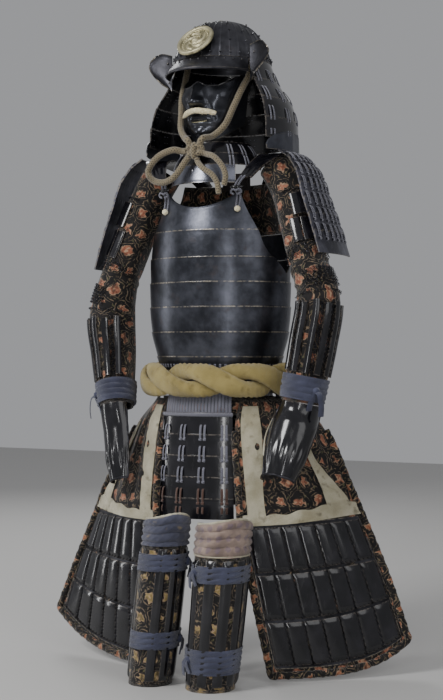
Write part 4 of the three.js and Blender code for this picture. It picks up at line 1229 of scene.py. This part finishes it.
def sleeve_folds(phase):
    """Soft creases: rings round the elbow and slack troughs along the inner arm."""
    def relief(angle, down, u, v):
        place = 1 - down
        inner = 0.5 - 0.5 * np.cos(np.radians(angle - 35))
        rings = np.zeros_like(angle)
        for k, (middle, width, depth, slant) in enumerate(CREASES):
            wander = slant * np.sin(np.radians(angle) + k * 1.7 + phase)
            reach = clamp(0.35 + 0.65 * np.sin(np.radians(angle + 50 * k) + phase))
            rings -= 1.7 * depth * bump(place - middle - wander, width) * reach
        slack = 2.2 * np.sin(np.radians(angle) * 5 + v * 0.02 + phase) * smooth(place, 0.05, 0.2) * inner
        return rings + slack
    return relief


# How thick a sleeve's plates are, and the mail: its sides round and through a ring, its wire, and where it
# lies on a sleeve, as angles and places
SLEEVE_PLATE = 2.6
MAIL_SIDES = (6, 3)
MAIL_WIRE = 0.75
SLEEVE_MAIL = ((-60, 130, 0.4, 0.43), (0, 110, 0.5, 0.56), (-60, 136, 0.583, 0.607), (0, 120, 0.128, 0.145))


def sleeve_plate(surface, low_angle, high_angle, top, bottom, lift, crown, count):
    """A lacquered plate over a sleeve, crowned across, with a rolled rim."""
    angles = np.linspace(low_angle, high_angle, count[0])
    places = 1 - np.linspace(top, bottom, count[1])

    def outer(a, d, u, v):
        part = (a - low_angle) / (high_angle - low_angle)
        rolled = 0.6 * bump(border_of(u, v) - 1.2, 1.3)
        return lift + SLEEVE_PLATE + crown * np.sqrt(np.maximum(0, 4 * part * (1 - part))) + rolled

    return wall(surface, angles, places, lift, outer, wear_and_highlight=worn_border)


def mail_patch(surface, low_angle, high_angle, top, bottom, lift, pitch=5.4):
    """Small rings, alternate ones turned, over a patch of a surface."""
    ends, _ = at_surface(surface, [low_angle, high_angle], 1 - (top + bottom) / 2)
    girth = max(np.linalg.norm(ends[0] - ends[1]) * 1.15, 10)
    side_line = surface(np.full(2, float(low_angle)), np.array([1 - top, 1 - bottom]))
    long = np.linalg.norm(side_line[0] - side_line[1])
    across, down = int(girth / pitch) + 1, max(1, int(long / pitch))
    angles, places = np.meshgrid(np.linspace(low_angle, high_angle, across), np.linspace(top, bottom, down))
    points, normals = at_surface(surface, angles.ravel(), 1 - places.ravel())
    odd = (np.add.outer(np.arange(down), np.arange(across)) % 2).ravel()
    around, through = MAIL_SIDES
    t = np.linspace(0, math.tau, around, endpoint=False)[None, :, None, None]
    s = np.linspace(0, math.tau, through, endpoint=False)[None, None, :, None]
    side = unit(np.cross(normals, [0.1, 0.2, 1.0]))
    other = np.cross(normals, side)
    ring_axis = np.where(odd[:, None] > 0, normals, unit(other + side))
    a = unit(np.cross(ring_axis, side + 0.3 * other))
    b = np.cross(ring_axis, a)
    outward = np.cos(t) * a[:, None, None] + np.sin(t) * b[:, None, None]
    centres = (points + normals * (lift + 0.9))[:, None, None]
    ring = (centres + outward * (pitch * 0.54 + MAIL_WIRE * np.cos(s))
            + ring_axis[:, None, None] * (MAIL_WIRE * np.sin(s)))
    k, j = np.mgrid[0:around, 0:through]
    after, beside = (k + 1) % around, (j + 1) % through
    near, far = k * through, after * through
    quad = np.stack([near + j, far + j, far + beside, near + beside], -1).reshape(-1, 4)
    count = len(points)
    faces = (quad[None] + np.arange(count)[:, None, None] * around * through).reshape(-1, 4)
    return Part(ring.reshape(-1, 3), faces, np.full((len(faces), 4, 3), [0, 0, 0.3]))


def wrist_winding(a, d, u, v):
    """Turns of a cloth wound round a wrist."""
    return 4.4 + 3.0 * np.abs(np.sin(v * 0.24 + a * 0.006)) ** 0.7 + 0.5 * np.sin(np.radians(a) * 9 + v * 0.3)


SLEEVE_ANGLES = np.linspace(-180, 180, 73)[:-1]
for side, table in sleeve_tables.items():
    surface = sleeve_surface(table)
    turned = TURNED[side]
    folds = sleeve_folds(0.4 if side == "left" else 2.1)
    tube_part = wall(surface, SLEEVE_ANGLES, np.linspace(1, 0, 111), -2, folds, True)
    made = dress(f"sleeve_{side}", turned(tube_part), "brocade", sharp=80)
    plates = [sleeve_plate(surface, 14, 104, 0.15, 0.255, 1.0, 5.0, count=(25, 25))]
    plates += [sleeve_plate(surface, middle - 14, middle + 14, 0.27, 0.385, 0.8, 2.0, count=(11, 19))
               for middle in (14, 45, 76, 107)]
    dress(f"upper_arm_plate_{side}", turned(joined(plates)), "lacquer")
    splints = [sleeve_plate(surface, middle - 9, middle + 9, 0.615 + 0.01 * (k % 2), 0.895, 1.0, 4.0,
                            count=(11, 45)) for k, middle in enumerate((-42, -12, 18, 48, 78, 108))]
    piece(f"forearm_splints_{side}", turned(joined(splints)), "lacquer")
    mail = [mail_patch(surface, *patch, 1.0) for patch in SLEEVE_MAIL]
    mail += [mail_patch(surface, middle - 1.2, middle + 1.2, 0.62, 0.89, 0.8) for middle in (-27, 33, 63)]
    piece(f"sleeve_mail_{side}", turned(joined(mail)), "mail")
    tie = wall(surface, SLEEVE_ANGLES, np.linspace(0.095, 0.01, 17), 2.8, wrist_winding, True)
    knot_place, knot_out = at_surface(surface, 55.0, 0.05)
    knot = dome([knot_place + knot_out * 4], [knot_out], 10, 9, 12)
    tails = []
    for lean, drop in ((-16, 46), (14, 58)):
        line = curve([knot_place + knot_out * 8, knot_place + knot_out * 13 + [lean * 0.4, -2, -8],
                      knot_place + knot_out * 9 + [lean * 0.9, -4, -drop * 0.6],
                      knot_place + knot_out * 5 + [lean, -5, -drop]], 16)
        tails.append(tube(line, (7.5, 1.3), 10, flat=knot_out))
    dress(f"wrist_tie_{side}", turned(joined([tie, knot] + tails)), "indigo")

# Hand guards: a domed plate with knuckle ridges, a twisted bound edge and a thumb loop
hand_tables = {"left": ([240, -178, 468], 53), "right": ([190, -158, 446], 38)}
HAND_INNER, HAND_OUTER = -67.5, 112.5


def hand_surface(table, knuckles, reach):
    cuff = sleeve_centre(table, np.array(1.0))
    cuff_along = unit(cuff - sleeve_centre(table, np.array(0.99)))
    length = float(np.linalg.norm(knuckles - cuff))
    hand_along = (knuckles - cuff) / length
    last = table[-1]

    def surface(angle, down):
        place = 1 - down
        bend = smooth(place, 0, 0.35)
        along = unit(cuff_along + (hand_along - cuff_along) * bend[..., None])
        wide = last["w"] + (reach * (1.02 - 0.3 * place**3) - last["w"]) * bend
        deep = last["d"] + (reach * (0.86 - 0.35 * place**2) - last["d"]) * bend
        return cuff + along * (length * place)[..., None] + around_arm(along, angle, wide, deep)
    return surface


def knuckle_ridges(a, d, u, v):
    place = 1 - d
    ridges = 2.4 * np.cos(np.radians(a - 22.5) * 8) ** 2 * bump(place - 0.72, 0.13)
    border = np.minimum(np.minimum(u - u.min(), u.max() - u), v)
    return ridges + 0.8 * bump(border - 1.5, 1.4)


for side, (knuckles, reach) in hand_tables.items():
    turned = TURNED[side]
    surface = hand_surface(sleeve_tables[side], np.array(knuckles, float), reach)
    angles, rows = np.linspace(HAND_INNER, HAND_OUTER, 46), np.linspace(0.996, 0, 50)
    dress(f"hand_guard_{side}", turned(wall(surface, angles, rows, -2, knuckle_ridges)), "lacquer")
    border = [(HAND_INNER, d) for d in np.linspace(0.9, 0.0, 20)]
    border += [(a, 0.0) for a in np.linspace(-60, 105, 18)]
    border += [(HAND_OUTER, d) for d in np.linspace(0.0, 0.9, 20)]
    inner = at_surface(surface, *zip(*border))
    line = curve(inner[0] - inner[1], 90)
    piece(f"hand_binding_{side}", turned(tube(line, 3.0, 10, twisted)), "mail")
    thumb_angle = HAND_INNER if side == "left" else 100
    (start, middle, low), (out, _, low_out) = at_surface(surface, thumb_angle, [0.72, 0.5, 0.28])
    lean = unit(middle - surface(np.array(22.5), np.array(0.5)))
    loop = curve([start - out * 2, start + lean * 10 - out * 6, middle + lean * 21 - out * 9,
                  low + lean * 15 - low_out * 8, low - low_out * 2], 46)
    loop = tube(loop, (6.5, 1.8), 12, flat=unit(out))
    piece(f"thumb_loop_{side}", turned(loop), "cream_cloth")


# Belt: two padded strands twisted round each other and the waist
BELT = {"height": 690, "half_width": 181.5, "half_depth": 147.7, "turns": 4, "radial": 11.5, "upright": 19.5}
BELT_OFFSET = 1.07
BELT_FILL = 0.97


def belt_strand(name, start_angle, rings=300, sides=24):
    turn = np.arange(rings)[:, None] / rings
    angle = np.arange(sides)[None] * 360 / sides
    twist = start_angle + 360 * BELT["turns"] * turn
    puckers = bump(sine((twist + angle) * 0.5), 0.35) * np.sin(turn * 1400 + np.radians(angle) * 3)
    folds = 1 + 0.02 * np.sin(turn * 410 + angle * 0.02) + 0.07 * puckers
    deep = BELT_FILL * folds * cosine(angle - twist)
    wide = 1.55 * BELT_FILL * folds * sine(angle - twist)
    radial = BELT["radial"] * (deep * sine(twist) + wide * cosine(twist) + BELT_OFFSET * sine(twist))
    rise = BELT["upright"] * (deep * cosine(twist) - wide * sine(twist) + BELT_OFFSET * cosine(twist))
    around = 360 * turn
    points = np.stack([(BELT["half_width"] + radial) * sine(around),
                       -(BELT["half_depth"] + radial) * cosine(around), BELT["height"] + rise], -1)
    ring = np.arange(rings)[:, None] * sides
    after = (ring + sides) % (rings * sides)
    k = np.arange(sides)[None]
    beside = (k + 1) % sides
    faces = np.stack([ring + k, ring + beside, after + beside, after + k], -1).reshape(-1, 4)
    u = np.stack([k, k + 1, k + 1, k], -1) * (0.1 / sides) + 0 * ring[..., None]
    v = np.stack([ring, ring, ring + sides, ring + sides], -1) / sides * (1.05 / rings) + 0 * k[..., None]
    flat = np.stack([u, v, u * 0], -1).reshape(-1, 4, 3)
    return dress(name, Part(points.reshape(-1, 3), faces, flat), "belt", sharp=180)


for name, start_angle in (("belt_strand_a", 0), ("belt_strand_b", 180)):
    belt_strand(name, start_angle)

# Laces and tassets below the cuirass
hip_surface = ring_surface(rows_of("z w d", (714, 150, 118), (660, 152, 121), (612, 160, 133),
                                   (500, 174, 148), (362, 188, 162)))
TASSET_EDGES = [612, 562, 512, 462, 412, 362]
LACING_TOP = 713.6


def suspension(middle, reach):
    """Laces side by side from the cuirass to a tasset, and the twisted row that ends them."""
    laces = [ribbon(hip_surface, angle, LACING_TOP - 0.5, 611, 7.2, 1.6, 1.5, 1.1)
             for angle in np.arange(middle - reach + 1.6, middle + reach - 1, 3.05)]
    angles = np.linspace(middle - reach, middle + reach, 60)
    points, normals = at_surface(hip_surface, angles, 607.0)
    laces.append(tube(points + normals * 5.5, 4.4, 12,
                      lambda turn, far: 1 + 0.2 * np.sin(2 * turn + far * 0.75)))
    return joined(laces)


def tasset_lames(middle, reach, count):
    return lame_stack(hip_surface, TASSET_EDGES, np.linspace(middle - reach, middle + reach, count), 5, 2.4)


def tasset_laces(middles, spread, edges):
    laces = []
    for edge in edges:
        laces += lace_pairs(hip_surface, middles, edge + 24, edge - 13, 5.6, spread, 4.9, 1.6)
        laces += [ribbon(hip_surface, angle + side * spread / 2, edge - 9, edge - 16, 8.0, 5.2, 0.8)
                  for angle in middles for side in (-1, 1)]
    return laces


dress("lacing_front", suspension(0, 34), "lacing")
dress("tasset_front", tasset_lames(0, 34, 70), "lacquer")
front_middles = [-27, -9, 9, 27]
piece("tasset_laces_front", tasset_laces(front_middles, 3.6, TASSET_EDGES[1:4]), "lacing")
low_laces = tasset_laces(front_middles, 3.6, TASSET_EDGES[4:5])
low_laces += [ribbon(hip_surface, angle + shift, 392, 374, 5.6, 4.0, 1.0)
              for angle in front_middles for shift in (-1.8, 1.8)]
piece("tasset_laces_low", low_laces, "red_lacing")
side_laces = []
SIDE_TASSETS = {"tasset_left": 118, "tasset_back_left": 160, "tasset_back_right": 200, "tasset_right": 242}
for name, middle in SIDE_TASSETS.items():
    dress(name, tasset_lames(middle, 19, 40), "lacquer")
    side_laces.append(suspension(middle, 19))
    side_laces += tasset_laces([middle - 12, middle, middle + 12], 3.2, TASSET_EDGES[1:5])
piece("tasset_laces_sides", side_laces, "lacing")

waistband_surface = ring_surface(rows_of("z w d", (648, 147, 115), (606, 147, 116)))
waistband = wall(waistband_surface, np.linspace(0, 360, 121)[:-1], np.linspace(648, 606, 8), -3,
                 lambda a, h, u, v: -0.4 + 0.4 * np.sin(u * 0.09), True)
waistband = dress("apron_waistband", waistband, "brocade")

# Thigh apron: two panels with cream straps, three rows of plates in mail, and padded edges
apron_names = "down ix iy iz ox oy oz bulge lift"
apron_tables = {
    "left": rows_of(apron_names,
                    (0, 98, -88.2, 644, 190, 20, 646, 16, 1),
                    (0.11, 99, -116, 580, 264, 24, 580, 24, 1),
                    (0.36, 127, -154, 425, 336, 26, 432, 22, 1),
                    (0.475, 143, -173, 352, 364, 32, 366, 20, 1.2),
                    (0.73, 180, -176, 186, 421, 47, 222, 18, 2),
                    (1, 220, -172, 12, 468, 60, 78, 14, 4)),
    "right": rows_of(apron_names,
                     (0, 98, -88.2, 644, 176, 12, 646, 14, 1),
                     (0.11, 99, -112, 580, 228, 0, 580, 20, 1),
                     (0.36, 96, -146, 425, 300, -38, 425, 20, 1),
                     (0.475, 88, -160, 352, 326, -44, 356, 20, 1.2),
                     (0.73, 62, -180, 186, 386, -50, 218, 18, 2),
                     (1, 34, -198, 12, 436, -52, 98, 12, 3)),
}


def apron_surface(table):
    at = {name: column(table, "down", name) for name in apron_names.split()[1:]}

    def surface(across, up):
        place = 1 - up
        value = {name: function(place) for name, function in at.items()}
        wide, deep = value["ox"] - value["ix"], value["oy"] - value["iy"]
        length = np.hypot(wide, deep)
        bulge = value["bulge"] * 4 * across * (1 - across)
        return np.stack([value["ix"] + wide * across + bulge * deep / length,
                         value["iy"] + deep * across - bulge * wide / length,
                         value["iz"] + (value["oz"] - value["iz"]) * clamp(across) ** value["lift"]], -1)
    return surface


# The middle, width, depth and lean of each fold
APRON_FOLDS = ((0.2, 0.05, 3.4, 0.2), (0.36, 0.035, -2.6, -0.1), (0.5, 0.05, 3.6, 0.25),
               (0.66, 0.04, -2.8, 0.1), (0.8, 0.05, 3.0, -0.2))


def apron_folds(across, up, u, v):
    """Soft vertical folds in the bare cloth above the plates."""
    place = 1 - up
    bare = smooth(place, 0.02, 0.12) * (1 - smooth(place, 0.34, 0.45))
    folds = sum(depth * bump(across - middle - lean * (place - 0.2) + 0.01 * np.sin(place * 20 + k), width)
                for k, (middle, width, depth, lean) in enumerate(APRON_FOLDS))
    return folds * bare + 0.6 * np.sin(u * 0.05 + 1.0) * np.sin(v * 0.04)


def strip(surface, low, high, top, bottom):
    """A ruffled strip of cloth on a surface between two edges, each a function of the place down it."""
    def placed(share, up):
        place = 1 - up
        return surface(low(place) + (high(place) - low(place)) * share, up)
    return wall(placed, np.linspace(0, 1, 9), 1 - np.linspace(top, bottom, 60), 2.2,
                lambda a, p, u, v: 3.8 + 1.3 * np.sin(v * 0.12 + 3 * a) * np.sin(v * 0.045))


PLATE_ROWS = [0.475, 0.64, 0.805, 0.965]
PLATE_COLUMNS = np.linspace(0.045, 0.955, 8)
PLATE_GAP = 0.004
APRON_MAIL_PITCH = 6.6


def plate_crown(low, high):
    """A small plate that is crowned between two shares of the panel."""
    def outer(a, p, u, v):
        part = clamp((a - low) / (high - low))
        border = border_of(u, v)
        return 0.8 + 2.0 * smooth(border, -0.5, 1.6) + 1.5 * 4 * part * (1 - part) * smooth(border, 0, 6)
    return outer


def padded_lumps(turn, far):
    """The uneven thickness of a padded edge."""
    return 1 + 0.07 * np.sin(far * 0.5) * np.sin(far * 0.11) + 0.07 * np.sin(far * 0.23 + turn)


for side, table in apron_tables.items():
    turned = TURNED[side]
    surface = apron_surface(table)
    panel = wall(surface, np.linspace(0, 1, 51), 1 - np.linspace(0, 1, 97), -2, apron_folds)
    panel = dress(f"apron_{side}", turned(panel), "brocade", sharp=80)
    edge_places = [(0.0, p) for p in np.linspace(0.13, 0.995, 40)]
    edge_places += [(a, 0.995) for a in np.linspace(0.03, 0.97, 30)]
    edge_places += [(1.0, p) for p in np.linspace(0.995, 0.13, 40)]
    points, normals = at_surface(surface, [a for a, _ in edge_places], [1 - p for _, p in edge_places])
    points[:, 2] = np.maximum(points[:, 2], 14)
    edging = tube(curve(points + normals * 1.5, 420), 8.6, 14, padded_lumps)
    edging = piece(f"apron_edging_{side}", turned(edging), "edging")
    straps = [strip(surface, lambda p: 0.06 + 0 * p, lambda p: 0.27 - 0.07 * smooth(p, 0.1, 0.4),
                    0.03, 0.455),
              strip(surface, lambda p: 0.64 + 0.1 * smooth(p, 0.12, 0.42) - 0.02 * smooth(p, 0.3, 0.42),
                    lambda p: 0.73 + 0.2 * smooth(p, 0.2, 0.42), 0.1, 0.43)]
    cross_angles = np.linspace(0.02, 0.98, 60)
    top_line = 0.44 - 0.03 * smooth(cross_angles, 0.2, 0.9) - 0.004 * np.sin(cross_angles * 30)
    bottom_line = 0.474 - 0.012 * smooth(cross_angles, 0.3, 1.0)
    straps.append(wall(surface, cross_angles, 1 - rows_between(top_line, bottom_line, 9), 4.2,
                       lambda a, p, u, v: 6.0 + 1.1 * np.sin(a * 60 + v * 0.2) * np.sin(v * 0.3)))
    straps = piece(f"apron_straps_{side}", turned(joined(straps)), "cream_cloth")
    plates = []
    mail = [wall(surface, np.linspace(0.035, 0.965, 60), 1 - np.linspace(0.468, 0.972, 60), 0.15, 0.5)]
    for top, bottom in zip(PLATE_ROWS[:-1], PLATE_ROWS[1:]):
        places = 1 - np.linspace(top + 0.006, bottom - 0.003, 16)
        plates += [wall(surface, np.linspace(low + PLATE_GAP, high - PLATE_GAP, 12), places, 0.8,
                        plate_crown(low + PLATE_GAP, high - PLATE_GAP), wear_and_highlight=worn_border)
                   for low, high in zip(PLATE_COLUMNS[:-1], PLATE_COLUMNS[1:])]
        patches = [(0.045, 0.955, bottom - 0.0085, bottom + 0.0085, 0.6)]
        patches += [(edge - 0.003, edge + 0.003, top + 0.01, bottom - 0.008, 0.4)
                    for edge in PLATE_COLUMNS[1:-1]]
        mail += [mail_patch(surface, *patch, APRON_MAIL_PITCH) for patch in patches]
    dress(f"apron_plates_{side}", turned(joined(plates)), "lacquer")
    piece(f"apron_mail_{side}", turned(joined(mail)), "mail")

# Shin guards: brocade with lacquered splints, indigo ties and quilted knee flaps
SHIN_TURN = 27
shin_guards = {
    "left": {"top": (147, -262), "foot": (118, -280), "rim": 300, "flap": 382, "radius": 56,
             "flap_radius": 60, "flap_cloth": "quilt", "splints": (-62, -22, 14, 48, 84, 116),
             "ties": ((281, 243), (95, 40)), "knot_angle": -62},
    "right": {"top": (8, -276), "foot": (-30, -294), "rim": 318, "flap": 388, "radius": 50,
              "flap_radius": 49, "flap_cloth": "indigo_quilt", "splints": (-96, -2, 34, 70, 104),
              "ties": ((300, 261), (124, 85)), "knot_angle": 78},
}


def shin_surface(guard):
    def surface(angle, height):
        share = height / guard["flap"]
        radius = guard["radius"] + (guard["flap_radius"] - guard["radius"]) * share
        radius = radius + 3 * np.sin(np.pi * share)
        centre = [guard["foot"][k] + (guard["top"][k] - guard["foot"][k]) * share for k in (0, 1)]
        return np.stack([centre[0] + radius * sine(angle + SHIN_TURN),
                         centre[1] - radius * cosine(angle + SHIN_TURN), height + 0 * angle], -1)
    return surface


def splint_crown(a, h, u, v):
    """A splint that is rounded across, with a soft border."""
    border = border_of(u, v)
    return 0.8 + 1.4 * smooth(border, -0.5, 1.5) + 3.2 * smooth(border, -2, 12)


def quilting(a, h, u, v):
    """Padded channels across the flap, between level rows of stitches."""
    channels = np.abs(np.sin(v * math.pi / 17 + 0.25 * np.sin(a * 0.09)))
    return -1.2 + 6.2 * channels**0.5 + 0.7 * np.sin(a * 0.31 + v * 0.4) * channels


def shin_winding(a, h, u, v):
    """Turns of a cloth wound round a shin."""
    lumps = np.abs(np.sin((v + 0.05 * a) * 0.24)) ** 0.6 + 0.25 * np.sin(np.radians(a) * 9 + v * 0.5)
    return 3.6 + 2.9 * lumps


SHIN_ANGLES = np.linspace(-150, 150, 81)
TIE_ANGLES = np.linspace(-180, 180, 121)[:-1]
for side, guard in shin_guards.items():
    surface = shin_surface(guard)
    body = wall(surface, SHIN_ANGLES, np.linspace(guard["rim"], 0, 64), -3,
                lambda a, h, u, v: 0.5 * np.sin(v * 0.07 + a * 0.05) * smooth(h, 0, 30), level=True)
    body = dress(f"shin_guard_{side}", body, "olive_brocade", sharp=60)
    splints = [wall(surface, np.linspace(middle - 12, middle + 12, 13), np.linspace(guard["rim"] - 6, 12, 50),
                    0.6, splint_crown, level=True, wear_and_highlight=worn_border) for middle in guard["splints"]]
    piece(f"shin_splints_{side}", splints, "lacquer")
    flap_top = guard["flap"] - 30 * (1 - cosine(SHIN_ANGLES * 0.6)) + 5 * sine(SHIN_ANGLES * 2)
    flap_rows = rows_between(flap_top, guard["rim"] + GAP, 40)
    flap = dress(f"knee_flap_{side}", wall(surface, SHIN_ANGLES, flap_rows, -3.4, quilting, level=True),
                 guard["flap_cloth"], sharp=80)
    lining_rows = rows_between(flap_top - 1, guard["rim"] - 11, 12)
    piece(f"knee_lining_{side}", wall(surface, SHIN_ANGLES, lining_rows, -4.8, -3.7, level=True), "indigo")
    points, normals = at_surface(surface, SHIN_ANGLES, flap_top)
    seam_places, seam_normals = at_surface(surface, SHIN_ANGLES, guard["rim"] + 2.0)
    piece(f"knee_piping_{side}", [tube(points - normals * 1.2, 3.0, 10, twisted),
                                  tube(seam_places + seam_normals * 1.2, 1.8, 8)], "cream_cloth")
    for tie_name, (high, low) in zip(("upper", "lower"), guard["ties"]):
        tie = [wall(surface, TIE_ANGLES, np.linspace(high, low, 18), 3.4, shin_winding, True, level=True)]
        place, out = at_surface(surface, guard["knot_angle"], (high + low) / 2)
        tie.append(dome([place + out * 4], [out], 11, 9, 12))
        for lean, drop in ((-13, 34), (15, 26)):
            sideways = np.cross([0, 0, 1.0], out)
            tail = curve([place + out * 8, place + out * 13 + sideways * lean * 0.5 - [0, 0, 7],
                          place + out * 9 + sideways * lean - [0, 0, drop]], 12)
            tie.append(tube(tail, (7, 1.3), 10, flat=out))
        dress(f"shin_tie_{side}_{tie_name}", tie, "indigo")

# Floor and soft studio light
floor_mesh = bpy.data.meshes.new("floor")
FLOOR = -HOLD_HEIGHT * MM
floor_mesh.from_pydata([(-6, -6, FLOOR), (6, -6, FLOOR), (6, 6, FLOOR), (-6, 6, FLOOR)], [], [(0, 1, 2, 3)])
floor = bpy.data.objects.new("floor", floor_mesh)
bpy.context.scene.collection.objects.link(floor)
floor_mesh.materials.append(Graph("floor", base_color=paint(186, 185, 183), roughness=0.8).material)


# Each softbox's place, the height it is aimed at, its size in metres and its power in watts
SOFTBOXES = {
    "key": ((-1.3, -2.9, 1.7), -0.2, (1.1, 1.4), 98),
    "fill": ((3.0, -2.0, 1.0), -0.4, (2.0, 2.4), 26),
    "streak_right": ((1.0, -2.9, -0.2), -0.4, (0.16, 1.9), 15),
    "streak_left": ((-3.0, -1.0, -0.2), -0.4, (0.16, 1.9), 13),
    "rim": ((-2.2, 2.4, 1.4), -0.1, (1.2, 1.6), 40),
}
for name, (place, aim_height, size, power) in SOFTBOXES.items():
    data = bpy.data.lights.new(name, "AREA")
    data.shape, data.size, data.size_y, data.energy = "RECTANGLE", *size, power
    light = bpy.data.objects.new(name, data)
    light.location = place
    light.rotation_euler = (Vector((0, 0, aim_height)) - Vector(place)).to_track_quat("-Z", "Y").to_euler()
    light.visible_camera = False
    bpy.context.scene.collection.objects.link(light)
world = bpy.data.worlds.new("studio")
world.use_nodes = True
world.node_tree.nodes["Background"].inputs[0].default_value = (0.86, 0.87, 0.9, 1)
world.node_tree.nodes["Background"].inputs[1].default_value = 0.4
bpy.context.scene.world = world
